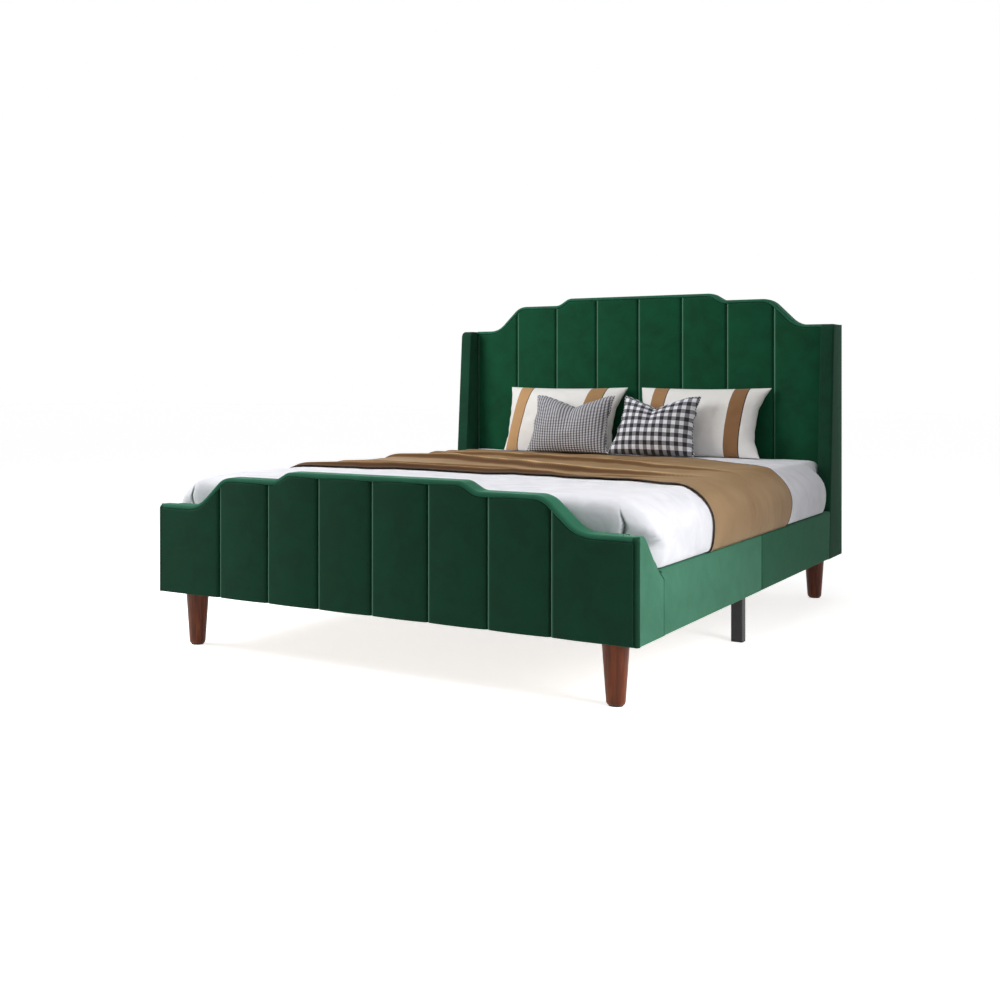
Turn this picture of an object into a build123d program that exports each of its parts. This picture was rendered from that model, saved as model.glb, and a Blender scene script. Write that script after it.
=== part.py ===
from build123d import *
import math
import os

os.makedirs("parts", exist_ok=True)

# An upholstered queen bed, made up, in millimetres.
# X runs across the bed, Y from the foot to the head, Z up.
# The origin is on the floor, under the middle of the bed.

# Driving dimensions
mattress_width = 1524
mattress_length = 2032
mattress_thickness = 230
mattress_side_gap = 8
mattress_end_gap = 4
ground_clearance = 176
rail_height = 183
rail_thickness = 50
end_board_thickness = 75
slat_deck_drop = 54
seat_clearance = 0.3
cut_overrun = 5

inner_half_width = mattress_width / 2 + mattress_side_gap
half_width = inner_half_width + rail_thickness
half_length = mattress_length / 2 + mattress_end_gap + end_board_thickness
foot_inner_y = -half_length + end_board_thickness
head_inner_y = half_length - end_board_thickness
rail_top = ground_clearance + rail_height
deck_top = rail_top - slat_deck_drop

# Layers of the end boards and rails
channel_pad_thickness = 30
panel_thickness = 15
border_thickness = 14
dust_cover_thickness = 2
back_cover_thickness = 8
outer_padding = 16
top_padding = 8
bottom_padding = 4
inner_cloth = 2

foot_panel_y = -half_length + channel_pad_thickness
foot_timber_y = foot_panel_y + panel_thickness
head_panel_y = head_inner_y + channel_pad_thickness
head_timber_y = head_panel_y + panel_thickness
head_rear_y = half_length - dust_cover_thickness
board_inner_x = inner_half_width + inner_cloth
board_outer_x = half_width - outer_padding
rail_board_bottom = ground_clearance + bottom_padding
rail_board_top = rail_top - top_padding

# Stepped top edge of the headboard: three heights joined by two ogees a side
headboard_low = 1085
headboard_big_rise = 107
headboard_small_rise = 30
headboard_big_step_share = 0.8623
headboard_big_step_angle = 45
headboard_small_step_share = 0.4753
headboard_small_step_angle = 32

# The footboard repeats that edge at its own heights
footboard_above_rail = 102
footboard_big_rise = 96
footboard_small_rise = 27
footboard_big_step_share = 0.8
footboard_big_step_angle = 43
footboard_small_step_share = 0.4244
footboard_small_step_angle = 30

big_hollow_radius = 92
big_crown_radius = 75
small_step_radius = 52

# Places of the joints between the frame's parts
return_length = 192
rail_joint_from_front = 1099
wing_foot_from_back = 203
wing_front_lean = 70
wing_top_drop = 2

return_end_y = -half_length + return_length
rail_joint_y = -half_length + rail_joint_from_front
wing_foot_y = half_length - wing_foot_from_back
wing_top = headboard_low - wing_top_drop

headboard_mid = headboard_low + headboard_big_rise
headboard_high = headboard_mid + headboard_small_rise
headboard_heights = (headboard_low, headboard_mid, headboard_high)
headboard_steps = (
    inner_half_width * headboard_big_step_share,
    headboard_big_step_angle,
    inner_half_width * headboard_small_step_share,
    headboard_small_step_angle,
)
footboard_low = rail_top + footboard_above_rail
footboard_mid = footboard_low + footboard_big_rise
footboard_high = footboard_mid + footboard_small_rise
footboard_heights = (footboard_low, footboard_mid, footboard_high)
footboard_steps = (
    half_width * footboard_big_step_share,
    footboard_big_step_angle,
    half_width * footboard_small_step_share,
    footboard_small_step_angle,
)


def export(solid, name):
    """Labels a finished piece and writes it under its node's name."""
    solid.label = name
    export_step(solid, "parts/" + name + ".step")


def export_group(pieces, name):
    """Writes like pieces as separate solids of one node."""
    export(Compound([solid for piece in pieces for solid in piece.solids()]), name)


def mirrored(solid):
    """The same piece for the other side of the bed."""
    with BuildPart() as other_side:
        mirror(solid, about=Plane.YZ)
    return other_side.part


def plane_facing_foot(y):
    """A sketch plane at y, X to the right and Z up, that extrudes towards the foot."""
    return Plane.XZ.offset(-y)


def bar(x_span, y_span, z_span, mode=Mode.ADD):
    """Adds a straight bar between two corners to the open part, or takes it out."""
    spans = (x_span, y_span, z_span)
    middle = tuple((low + high) / 2 for low, high in spans)
    with Locations(middle):
        Box(*[high - low for low, high in spans], mode=mode)


# The stepped outline that the headboard and the footboard share

def corner_shift(inset, angle):
    """How far an ogee's corner moves inwards when the whole edge moves in by inset."""
    return inset * math.tan(math.radians(angle / 2))


def stepped_edge(half_span, heights, steps, inset):
    """The stepped top edge as a line from left to right, moved in by inset."""
    low, mid, high = heights
    big_x, big_angle, small_x, small_angle = steps
    big_run = (mid - low) / math.tan(math.radians(big_angle))
    small_run = (high - mid) / math.tan(math.radians(small_angle))
    big_low_x = big_x - corner_shift(inset, big_angle)
    small_low_x = small_x - corner_shift(inset, small_angle)
    right_half = [
        (small_low_x - small_run, high - inset),
        (small_low_x, mid - inset),
        (big_low_x - big_run, mid - inset),
        (big_low_x, low - inset),
        (half_span, low - inset),
    ]
    left_half = [(-x, z) for x, z in reversed(right_half)]
    right_radii = [
        small_step_radius - inset,
        small_step_radius + inset,
        big_crown_radius - inset,
        big_hollow_radius + inset,
    ]
    return FilletPolyline(*left_half, *right_half, radius=right_radii[::-1] + right_radii)


def stepped_face(half_span, bottom, heights, steps, inset):
    """The face under the stepped edge, down to bottom."""
    top_end = heights[0] - inset
    with BuildSketch() as board_face:
        with BuildLine():
            stepped_edge(half_span, heights, steps, inset)
            Polyline(
                (half_span, top_end),
                (half_span, bottom),
                (-half_span, bottom),
                (-half_span, top_end),
            )
        make_face()
    return board_face.sketch


def head_face(half_span, bottom, inset):
    """The headboard's outline as a face."""
    return stepped_face(half_span, bottom, headboard_heights, headboard_steps, inset)


def foot_face(half_span, bottom, inset):
    """The footboard's outline as a face."""
    return stepped_face(half_span, bottom, footboard_heights, footboard_steps, inset)


# Bolts are planned first, because every piece that one passes needs its hole.
# Each is a plane on its head's seat, with the shank along the plane's normal.
# Shanks and their holes are eight-sided, so that so many bolts stay light.
bolt_radius = 4
bolt_hole_radius = 4.2
bolt_head_across = 13
bolt_head_height = 5.5
bolt_head_sides = 6
bolt_sides = 8

joiner_length = 205
joiner_height = 60
joiner_rise = 14
joiner_thickness = 3
joiner_bolt_inset = 22
joiner_bolt_length = 30
middle_leg_behind_joint = 15
middle_leg_inset = 33
seat_bolt_reach = 27
seat_bolt_length = 12
centre_bolt_length = 30
top_plate_thickness = 4

batten_width = 60
bottom_beam_height = 120
bottom_beam_top = ground_clearance + bottom_beam_height
wing_bolt_height_shares = (0.15, 0.57, 0.88)
wing_bolt_length = 88

leg_from_side = 95
front_leg_from_front = 86
rear_leg_from_back = 45
leg_bolt_length = 60
leg_bolt_in_leg = 25

slat_thickness = 18
beam_width = 40
beam_height = 70
end_gap = 2

slat_bottom = deck_top - slat_thickness
beam_bottom = slat_bottom - beam_height
joiner_low_z = ground_clearance + joiner_rise
joiner_high_z = joiner_low_z + joiner_height
joiner_middle_z = (joiner_low_z + joiner_high_z) / 2


def wing_front_y(z):
    """Y of a wing's slanted front edge at height z."""
    share = (z - ground_clearance) / (wing_top - ground_clearance)
    return wing_foot_y + wing_front_lean * share


wing_joint_y = wing_front_y(joiner_middle_z)
joiner_middles = (return_end_y, rail_joint_y, wing_joint_y)
joiner_bolt_reach = joiner_length / 2 - joiner_bolt_inset


def joiner_bolts(side, middle):
    """Head planes of the two bolts through the joiner plate at one joint of one side rail."""
    head_x = side * (inner_half_width - joiner_thickness)
    return [
        Plane((head_x, middle + reach, joiner_middle_z), z_dir=(side, 0, 0))
        for reach in (-joiner_bolt_reach, joiner_bolt_reach)
    ]


def side_joiner_bolts(side):
    """All joiner bolts of one side of the bed."""
    return [plane for middle in joiner_middles for plane in joiner_bolts(side, middle)]


head_timber_depth = head_rear_y - head_timber_y
head_timber_top = headboard_low - border_thickness
wing_bolt_y = head_timber_y + head_timber_depth / 2
wing_bolt_heights = [
    bottom_beam_top + share * (head_timber_top - bottom_beam_top)
    for share in wing_bolt_height_shares
]


def wing_bolts(side):
    """Head planes of the bolts from a headboard upright into the wing beside it."""
    head_x = side * (inner_half_width - batten_width)
    return [Plane((head_x, wing_bolt_y, z), z_dir=(side, 0, 0)) for z in wing_bolt_heights]


leg_x = half_width - leg_from_side
front_leg_y = -half_length + front_leg_from_front
rear_leg_y = half_length - rear_leg_from_back
leg_places = {
    "leg_front_left": (-leg_x, front_leg_y),
    "leg_front_right": (leg_x, front_leg_y),
    "leg_rear_left": (-leg_x, rear_leg_y),
    "leg_rear_right": (leg_x, rear_leg_y),
}
leg_bolt_planes = [
    Plane((x, y, ground_clearance - leg_bolt_in_leg), z_dir=(0, 0, 1))
    for x, y in leg_places.values()
]


middle_leg_x = inner_half_width - middle_leg_inset
middle_leg_y = rail_joint_y + middle_leg_behind_joint
seat_bolt_ys = (middle_leg_y - seat_bolt_reach, middle_leg_y + seat_bolt_reach)
seat_bolt_z = ground_clearance + joiner_thickness
centre_bolt_z = beam_bottom - joiner_thickness - top_plate_thickness


def seat_bolts(side):
    """Head planes of the bolts down through a middle joiner's seat into its leg's top plate."""
    return [Plane((side * middle_leg_x, y, seat_bolt_z), z_dir=(0, 0, -1)) for y in seat_bolt_ys]


centre_bolts = [Plane((0, y, centre_bolt_z), z_dir=(0, 0, 1)) for y in seat_bolt_ys]


def cut_bolt_holes(planes, length):
    """Cuts a clearance hole for each bolt's shank out of the open part."""
    for plane in planes:
        with BuildSketch(plane) as hole:
            RegularPolygon(bolt_hole_radius, bolt_sides, major_radius=False)
        extrude(hole.sketch, amount=length, mode=Mode.SUBTRACT)


def bolt(plane, length, with_head=True):
    """One bolt: a plain shank, and a hexagon head on its seat."""
    with BuildPart() as one_bolt:
        with BuildSketch(plane):
            RegularPolygon(bolt_radius, bolt_sides)
        extrude(amount=length)
        if with_head:
            with BuildSketch(plane):
                RegularPolygon(bolt_head_across / 2, bolt_head_sides, major_radius=False)
            extrude(amount=-bolt_head_height)
    return one_bolt.part


# Headboard panel: plywood cut to the stepped outline, standing on the bottom beam

with BuildPart() as headboard_panel:
    with BuildSketch(plane_facing_foot(head_timber_y)):
        add(head_face(inner_half_width, bottom_beam_top, border_thickness))
    extrude(amount=panel_thickness)
export(headboard_panel.part, "headboard_panel")


# Timber frames behind both boards: uprights, a shoulder rail, and a raised rail on short posts
upright_share = 0.39
cross_rail_share = 0.45

upright_x = inner_half_width * upright_share
outer_upright_x = inner_half_width - batten_width / 2
upright_middles = (-outer_upright_x, -upright_x, upright_x, outer_upright_x)


def timber(x_span, y_span, z_span, bolts=(), bolt_length=0):
    """One straight bar of pine, with the clearance holes of its bolts."""
    with BuildPart() as pine:
        bar(x_span, y_span, z_span)
        if bolts:
            cut_bolt_holes(bolts, bolt_length)
    return pine.part


def around(middle):
    """The two sides of a batten on its middle."""
    return (middle - batten_width / 2, middle + batten_width / 2)


def raised_half_span(heights, steps):
    """Half the length of the flat stretch at an outline's middle height."""
    low, mid, high = heights
    big_x, big_angle, small_x, small_angle = steps
    big_run = (mid - low) / math.tan(math.radians(big_angle))
    return big_x - big_run - corner_shift(big_crown_radius, big_angle)


def board_timbers(y_span, heights, steps, bolts, bolt_length):
    """Uprights and rails that carry a panel's stepped edge."""
    shoulder_top = heights[0] - border_thickness
    raised_top = heights[1] - border_thickness
    raised_half = raised_half_span(heights, steps)
    upright_span = (bottom_beam_top, shoulder_top - batten_width)
    pieces = [
        timber(around(middle), y_span, upright_span, bolts, bolt_length)
        for middle in upright_middles
    ]
    shoulder_span = (shoulder_top - batten_width, shoulder_top)
    pieces.append(timber((-inner_half_width, inner_half_width), y_span, shoulder_span))
    for side in (-1, 1):
        post_middle = side * (raised_half - batten_width / 2)
        pieces.append(timber(around(post_middle), y_span, (shoulder_top, raised_top - batten_width)))
    raised_span = (raised_top - batten_width, raised_top)
    pieces.append(timber((-raised_half, raised_half), y_span, raised_span))
    return pieces


# Headboard timber: the frame on a bottom beam over the rear legs, with a row of cross rails
head_depth_span = (head_timber_y, head_rear_y)
headboard_timbers = board_timbers(
    head_depth_span,
    headboard_heights,
    headboard_steps,
    wing_bolts(-1) + wing_bolts(1),
    wing_bolt_length,
)
headboard_timbers.append(
    timber(
        (-inner_half_width, inner_half_width),
        (head_inner_y, head_rear_y),
        (ground_clearance, bottom_beam_top),
        leg_bolt_planes,
        leg_bolt_length,
    )
)
upright_height = head_timber_top - batten_width - bottom_beam_top
cross_rail_z = bottom_beam_top + cross_rail_share * upright_height
for left_middle, right_middle in zip(upright_middles, upright_middles[1:]):
    bay = (around(left_middle)[1], around(right_middle)[0])
    cross_rail = timber(bay, head_depth_span, (cross_rail_z, cross_rail_z + batten_width))
    headboard_timbers.append(cross_rail)
export_group(headboard_timbers, "headboard_timber")


# Channel pads: foam under velvet, sewn down at each seam, so each pad swells between two seams
channels_per_side = 4
outer_channel_extra = 10
channel_crown = 9
channel_corner_radius = 17
channel_above_rail = 41

channel_pitch = (inner_half_width - outer_channel_extra) / channels_per_side
inner_seams = [step * channel_pitch for step in range(1 - channels_per_side, channels_per_side)]
headboard_channel_bottom = rail_top + channel_above_rail


def channel_pad(x_span, base_y, bottom, top, outline):
    """One upright pad between two seams, cut to the board's outline."""
    seam_y = base_y - channel_pad_thickness + channel_crown
    with BuildPart() as pad:
        with BuildSketch(Plane.XY.offset(bottom)) as pad_plan:
            with BuildLine():
                Polyline(
                    (x_span[0], seam_y),
                    (x_span[0], base_y),
                    (x_span[1], base_y),
                    (x_span[1], seam_y),
                )
                ThreePointArc(
                    (x_span[1], seam_y),
                    ((x_span[0] + x_span[1]) / 2, base_y - channel_pad_thickness),
                    (x_span[0], seam_y),
                )
            make_face()
            fillet(pad_plan.vertices().group_by(Axis.Y)[0], radius=channel_corner_radius)
        extrude(amount=top - bottom)
        with BuildSketch(plane_facing_foot(base_y)):
            add(outline)
        extrude(amount=channel_pad_thickness, mode=Mode.INTERSECT)
    return pad.part


head_pad_outline = head_face(inner_half_width, headboard_channel_bottom, border_thickness)
head_pad_edges = [-inner_half_width, *inner_seams, inner_half_width]
for number, x_span in enumerate(zip(head_pad_edges, head_pad_edges[1:]), start=1):
    head_pad = channel_pad(
        x_span, head_panel_y, headboard_channel_bottom, headboard_high, head_pad_outline
    )
    export(head_pad, f"headboard_channel_{number}")

foot_pad_edge = half_width - border_thickness
foot_pad_outline = foot_face(foot_pad_edge, ground_clearance, border_thickness)
foot_pad_edges = [-foot_pad_edge, *inner_seams, foot_pad_edge]
for number, x_span in enumerate(zip(foot_pad_edges, foot_pad_edges[1:]), start=1):
    foot_pad = channel_pad(
        x_span, foot_panel_y, ground_clearance, footboard_high, foot_pad_outline
    )
    export(foot_pad, f"footboard_channel_{number}")


# Borders: a padded velvet strip over each board's top edge, and down the footboard's corners
border_round = 9
border_setback = 2

head_border_front_y = head_inner_y + border_setback
foot_border_front_y = -half_length + border_setback
corner_strip_rear_y = foot_border_front_y + border_thickness

with BuildPart() as headboard_border:
    with BuildSketch(plane_facing_foot(head_rear_y)):
        add(head_face(inner_half_width, headboard_channel_bottom, 0))
    extrude(amount=head_rear_y - head_border_front_y)
    front_edges = headboard_border.faces().sort_by(Axis.Y)[0].edges()
    top_edges = front_edges.filter_by(
        lambda edge: edge.center().Z > headboard_low - border_thickness
    )
    fillet(top_edges, radius=border_round)
    with BuildSketch(plane_facing_foot(head_rear_y)):
        add(head_face(inner_half_width, headboard_channel_bottom, border_thickness))
    extrude(amount=end_board_thickness, mode=Mode.SUBTRACT)
export(headboard_border.part, "headboard_border")

with BuildPart() as footboard_border:
    with BuildSketch(plane_facing_foot(foot_inner_y)):
        add(foot_face(half_width, ground_clearance, 0))
    extrude(amount=foot_inner_y - foot_border_front_y)
    front_edges = footboard_border.faces().sort_by(Axis.Y)[0].edges()
    seen_edges = front_edges.filter_by(
        lambda edge: edge.center().Z > ground_clearance + cut_overrun
    )
    fillet(seen_edges, radius=border_round)
    with BuildSketch(plane_facing_foot(foot_inner_y)):
        add(foot_face(foot_pad_edge, ground_clearance - cut_overrun, border_thickness))
    extrude(amount=end_board_thickness, mode=Mode.SUBTRACT)
    strip_height_span = (ground_clearance - cut_overrun, footboard_high)
    for side in (-1, 1):
        bar(
            sorted((side * inner_half_width, side * (half_width + cut_overrun))),
            (foot_timber_y, foot_inner_y + cut_overrun),
            strip_height_span,
            mode=Mode.SUBTRACT,
        )
        bar(
            sorted((side * foot_pad_edge, side * (half_width + cut_overrun))),
            (corner_strip_rear_y, foot_inner_y + cut_overrun),
            strip_height_span,
            mode=Mode.SUBTRACT,
        )
export(footboard_border.part, "footboard_border")


# Dust cover: black cloth stapled over the whole back of the headboard and the wings
dust_cover_inset = 8

with BuildPart() as headboard_dust_cover:
    with BuildSketch(plane_facing_foot(half_length)):
        add(head_face(half_width - dust_cover_inset, ground_clearance, dust_cover_inset))
    extrude(amount=dust_cover_thickness)
export(headboard_dust_cover.part, "headboard_dust_cover")


# Wings: a plywood board in padded velvet, with a piping cord in the front inner seam
wing_board_thickness = 28
wing_inner_padding = 8
wing_edge_padding = 14
wing_corner_radius = 28
wing_edge_round = 7
piping_radius = 3.5
piping_sides = 8

wing_board_plane = Plane.YZ.offset(inner_half_width + wing_inner_padding)
piping_x = inner_half_width + piping_radius
piping_rebate = 2 * piping_radius + seat_clearance
wing_bolt_reach = wing_bolt_length + cut_overrun
joiner_bolt_reach_in_board = joiner_bolt_length + cut_overrun


def wing_face(inset, bottom, corner_radius=0):
    """The wing's side view as a face, its front and top edges moved in by inset."""
    top = wing_top - inset
    with BuildSketch() as side_view:
        with BuildLine():
            Polyline(
                (wing_front_y(bottom) + inset, bottom),
                (head_rear_y, bottom),
                (head_rear_y, top),
                (wing_front_y(top) + inset, top),
                close=True,
            )
        make_face()
        if corner_radius:
            fillet(side_view.vertices().group_by(Axis.Y)[-1], radius=corner_radius)
    return side_view.sketch


with BuildPart() as wing_piping_right:
    piping_start = (piping_x, wing_front_y(rail_top) + piping_radius, rail_top)
    with BuildLine():
        FilletPolyline(
            piping_start,
            (piping_x, wing_front_y(wing_top) + piping_radius, wing_top - piping_radius),
            (piping_x, head_rear_y - wing_corner_radius, wing_top - piping_radius),
            radius=wing_corner_radius - piping_radius,
        )
    with BuildSketch(Plane(piping_start)):
        RegularPolygon(piping_radius, piping_sides)
    sweep()

with BuildPart() as wing_board_right:
    with BuildSketch(wing_board_plane):
        add(wing_face(wing_edge_padding, rail_board_bottom))
    extrude(amount=wing_board_thickness)
    cut_bolt_holes(wing_bolts(1), wing_bolt_reach)
    cut_bolt_holes(joiner_bolts(1, wing_joint_y), joiner_bolt_reach_in_board)

with BuildPart() as wing_cover_right:
    with BuildSketch(Plane.YZ.offset(inner_half_width)):
        add(wing_face(0, ground_clearance, wing_corner_radius))
    extrude(amount=rail_thickness)
    with BuildSketch(Plane.YZ.offset(inner_half_width)) as piping_side:
        add(wing_face(0, rail_top, wing_corner_radius))
        add(
            wing_face(piping_rebate, rail_top, wing_corner_radius - piping_rebate),
            mode=Mode.SUBTRACT,
        )
        with Locations((head_rear_y, wing_top)):
            Rectangle(2 * wing_corner_radius, 2 * wing_corner_radius, mode=Mode.SUBTRACT)
    extrude(amount=piping_rebate, mode=Mode.SUBTRACT)
    outer_edges = wing_cover_right.faces().sort_by(Axis.X)[-1].edges()
    slanted_edge = outer_edges.filter_by(
        lambda edge: edge.length > rail_height and edge.center().Y < wing_front_y(wing_top)
    )
    fillet(slanted_edge, radius=wing_edge_round)
    with BuildSketch(wing_board_plane):
        add(wing_face(wing_edge_padding, rail_board_bottom))
    extrude(amount=wing_board_thickness, mode=Mode.SUBTRACT)
    cut_bolt_holes(wing_bolts(1), wing_bolt_reach)
    cut_bolt_holes(joiner_bolts(1, wing_joint_y), joiner_bolt_reach_in_board)

export(wing_cover_right.part, "wing_cover_right")
export(mirrored(wing_cover_right.part), "wing_cover_left")
export(wing_board_right.part, "wing_board_right")
export(mirrored(wing_board_right.part), "wing_board_left")
export_group([wing_piping_right.part, mirrored(wing_piping_right.part)], "wing_piping")


# Footboard panel: plywood cut to the stepped outline

with BuildPart() as footboard_panel:
    with BuildSketch(plane_facing_foot(foot_timber_y)):
        add(foot_face(foot_pad_edge, ground_clearance, border_thickness))
    extrude(amount=panel_thickness)
export(footboard_panel.part, "footboard_panel")


# Footboard timber: bottom beam and frame, with corner blocks that carry the returns and the legs
return_seam_drop = 29
return_slope_foot = 153
return_slope_top = 57
return_top_radius = 25
return_edge_round = 9
leg_block_width = 80
leg_block_length = 70
leg_block_height = 74

return_seam_z = rail_top - return_seam_drop
return_slope_foot_y = -half_length + return_slope_foot
return_slope_top_y = -half_length + return_slope_top
foot_timber_rear_y = foot_inner_y - back_cover_thickness
return_board_width = board_outer_x - board_inner_x


def return_face(front_y, bottom, drop, corner_radius=0):
    """A return's side view as a face, its top lowered by drop."""
    with BuildSketch() as side_view:
        with BuildLine():
            Polyline(
                (front_y, bottom),
                (return_end_y, bottom),
                (return_end_y, return_seam_z - drop),
                (return_slope_foot_y, rail_top - drop),
                (return_slope_top_y, footboard_low - drop),
                (front_y, footboard_low - drop),
                close=True,
            )
        make_face()
        if corner_radius:
            top_corners = side_view.vertices().group_by(Axis.Y)[-1]
            fillet(top_corners.sort_by(Axis.X)[-1], radius=corner_radius)
    return side_view.sketch


with BuildPart() as return_block_right:
    with BuildSketch(Plane.YZ.offset(board_inner_x)):
        add(return_face(foot_timber_y, rail_board_bottom, border_thickness))
    extrude(amount=return_board_width)
    cut_bolt_holes(joiner_bolts(1, return_end_y), joiner_bolt_reach_in_board)

footboard_timbers = board_timbers(
    (foot_timber_y, foot_timber_rear_y), footboard_heights, footboard_steps, (), 0
)
footboard_timbers += [
    return_block_right.part,
    mirrored(return_block_right.part),
    timber(
        (-inner_half_width, inner_half_width),
        (foot_timber_y, foot_inner_y),
        (ground_clearance, bottom_beam_top),
    ),
]
leg_block_outer_x = inner_half_width - joiner_thickness - bolt_head_height - seat_clearance
for side in (-1, 1):
    footboard_timbers.append(
        timber(
            sorted((side * (leg_block_outer_x - leg_block_width), side * leg_block_outer_x)),
            (foot_inner_y, foot_inner_y + leg_block_length),
            (ground_clearance, ground_clearance + leg_block_height),
            leg_bolt_planes,
            leg_bolt_length,
        )
    )
export_group(footboard_timbers, "footboard_timber")


# Footboard back cover: thin foam and velvet from the bottom beam up to the border

with BuildPart() as footboard_back_cover:
    with BuildSketch(plane_facing_foot(foot_inner_y)):
        add(foot_face(inner_half_width, bottom_beam_top, border_thickness))
    extrude(amount=back_cover_thickness)
export(footboard_back_cover.part, "footboard_back_cover")


# Footboard returns: padded velvet that turns each corner and slopes down to the side rail

with BuildPart() as footboard_return_right:
    with BuildSketch(Plane.YZ.offset(inner_half_width)):
        add(return_face(corner_strip_rear_y, ground_clearance, 0, return_top_radius))
    extrude(amount=rail_thickness)
    outer_face = footboard_return_right.faces().sort_by(Axis.X)[-1]
    upper_edges = outer_face.edges().filter_by(lambda edge: edge.center().Z > rail_top)
    fillet(upper_edges, radius=return_edge_round)
    bar(
        (inner_half_width - cut_overrun, foot_pad_edge),
        (corner_strip_rear_y - cut_overrun, foot_timber_y),
        (ground_clearance - cut_overrun, footboard_high),
        mode=Mode.SUBTRACT,
    )
    with BuildSketch(Plane.YZ.offset(board_inner_x)):
        add(return_face(foot_timber_y, rail_board_bottom, border_thickness))
    extrude(amount=return_board_width, mode=Mode.SUBTRACT)
    cut_bolt_holes(joiner_bolts(1, return_end_y), joiner_bolt_reach_in_board)
export(footboard_return_right.part, "footboard_return_right")
export(mirrored(footboard_return_right.part), "footboard_return_left")


# Side rails: each side has a front and a rear half that meet at a steel joiner
rail_edge_round = 7

front_rail_outline = (
    (return_end_y, ground_clearance),
    (rail_joint_y, ground_clearance),
    (rail_joint_y, rail_top),
    (return_slope_foot_y, rail_top),
    (return_end_y, return_seam_z),
)
rear_rail_outline = (
    (rail_joint_y, ground_clearance),
    (wing_front_y(ground_clearance), ground_clearance),
    (wing_front_y(rail_top), rail_top),
    (rail_joint_y, rail_top),
)


def rail_board(outline):
    """The pine board of one half rail, inside its cover."""
    lengthwise = [y for y, z in outline if z == ground_clearance]
    return timber(
        (board_inner_x, board_outer_x),
        (min(lengthwise), max(lengthwise)),
        (rail_board_bottom, rail_board_top),
        side_joiner_bolts(1),
        joiner_bolt_reach_in_board,
    )


def rail_cover(outline, board):
    """The padded velvet sleeve of one half rail, with the room for its board."""
    with BuildPart() as sleeve:
        with BuildSketch(Plane.YZ.offset(inner_half_width)):
            with BuildLine():
                Polyline(*outline, close=True)
            make_face()
        extrude(amount=rail_thickness)
        lengthwise_edges = sleeve.edges().filter_by(Axis.Y)
        fillet(lengthwise_edges.group_by(Axis.X)[-1], radius=rail_edge_round)
        add(board, mode=Mode.SUBTRACT)
        cut_bolt_holes(side_joiner_bolts(1), joiner_bolt_reach_in_board)
    return sleeve.part


for half, outline in (("front", front_rail_outline), ("rear", rear_rail_outline)):
    board = rail_board(outline)
    cover = rail_cover(outline, board)
    export(board, f"rail_board_{half}_right")
    export(mirrored(board), f"rail_board_{half}_left")
    export(cover, f"rail_cover_{half}_right")
    export(mirrored(cover), f"rail_cover_{half}_left")


# Joiner plates: flat steel at the corners, an angle with the middle leg's seat at the rail joint
leg_seat_width = 58
leg_seat_length = 76

joiner_plates = []
for middle in joiner_middles:
    with BuildPart() as joiner:
        bar(
            (inner_half_width - joiner_thickness, inner_half_width),
            (middle - joiner_length / 2, middle + joiner_length / 2),
            (joiner_low_z, joiner_high_z),
        )
        if middle == rail_joint_y:
            seat_y_span = (middle_leg_y - leg_seat_length / 2, middle_leg_y + leg_seat_length / 2)
            bar(
                (inner_half_width - joiner_thickness, inner_half_width),
                seat_y_span,
                (ground_clearance, joiner_high_z),
            )
            bar(
                (inner_half_width - leg_seat_width, inner_half_width),
                seat_y_span,
                (ground_clearance, ground_clearance + joiner_thickness),
            )
            cut_bolt_holes(seat_bolts(1), seat_bolt_length)
        cut_bolt_holes(joiner_bolts(1, middle), joiner_thickness)
    joiner_plates += [joiner.part, mirrored(joiner.part)]
export_group(joiner_plates, "joiner_plates")


# Slat ledges: pine strips screwed along the inside of the side rails
ledge_width = 30
ledge_height = 30

ledges = []
for side in (-1, 1):
    for y_span in (
        (foot_inner_y + end_gap, rail_joint_y - end_gap / 2),
        (rail_joint_y + end_gap / 2, head_inner_y - end_gap),
    ):
        ledges.append(
            timber(
                sorted((side * (inner_half_width - ledge_width), side * inner_half_width)),
                y_span,
                (slat_bottom - ledge_height, slat_bottom),
            )
        )
export_group(ledges, "slat_ledges")


# Slats: pine boards across the ledges and the centre beam
slat_count = 13
slat_width = 70
slat_end_gap = 3
slat_edge_break = 2
first_slat_inset = 12

slat_half_length = inner_half_width - slat_end_gap
first_slat_y = foot_inner_y + first_slat_inset + slat_width / 2
last_slat_y = head_inner_y - first_slat_inset - slat_width / 2
slats = []
for number in range(slat_count):
    slat_y = first_slat_y + (last_slat_y - first_slat_y) * number / (slat_count - 1)
    with BuildPart() as slat:
        bar(
            (-slat_half_length, slat_half_length),
            (slat_y - slat_width / 2, slat_y + slat_width / 2),
            (slat_bottom, deck_top),
        )
        chamfer(slat.edges().filter_by(Axis.X).group_by(Axis.Z)[-1], length=slat_edge_break)
    slats.append(slat.part)
export_group(slats, "slats")


# Centre beam: two pine halves that meet in a steel channel and end in steel hangers
hanger_plate_width = 100
hanger_plate_rise = 12
hanger_seat_length = 60
sleeve_length = 160

channel_half_width = beam_width / 2 + seat_clearance + joiner_thickness
channel_bottom = beam_bottom - joiner_thickness
channel_top = slat_bottom - hanger_plate_rise

centre_beams = [
    timber(
        (-beam_width / 2, beam_width / 2),
        y_span,
        (beam_bottom, slat_bottom),
        centre_bolts,
        centre_bolt_length,
    )
    for y_span in (
        (foot_inner_y + joiner_thickness, middle_leg_y - end_gap / 2),
        (middle_leg_y + end_gap / 2, head_inner_y - joiner_thickness),
    )
]
export_group(centre_beams, "centre_beam")


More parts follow.
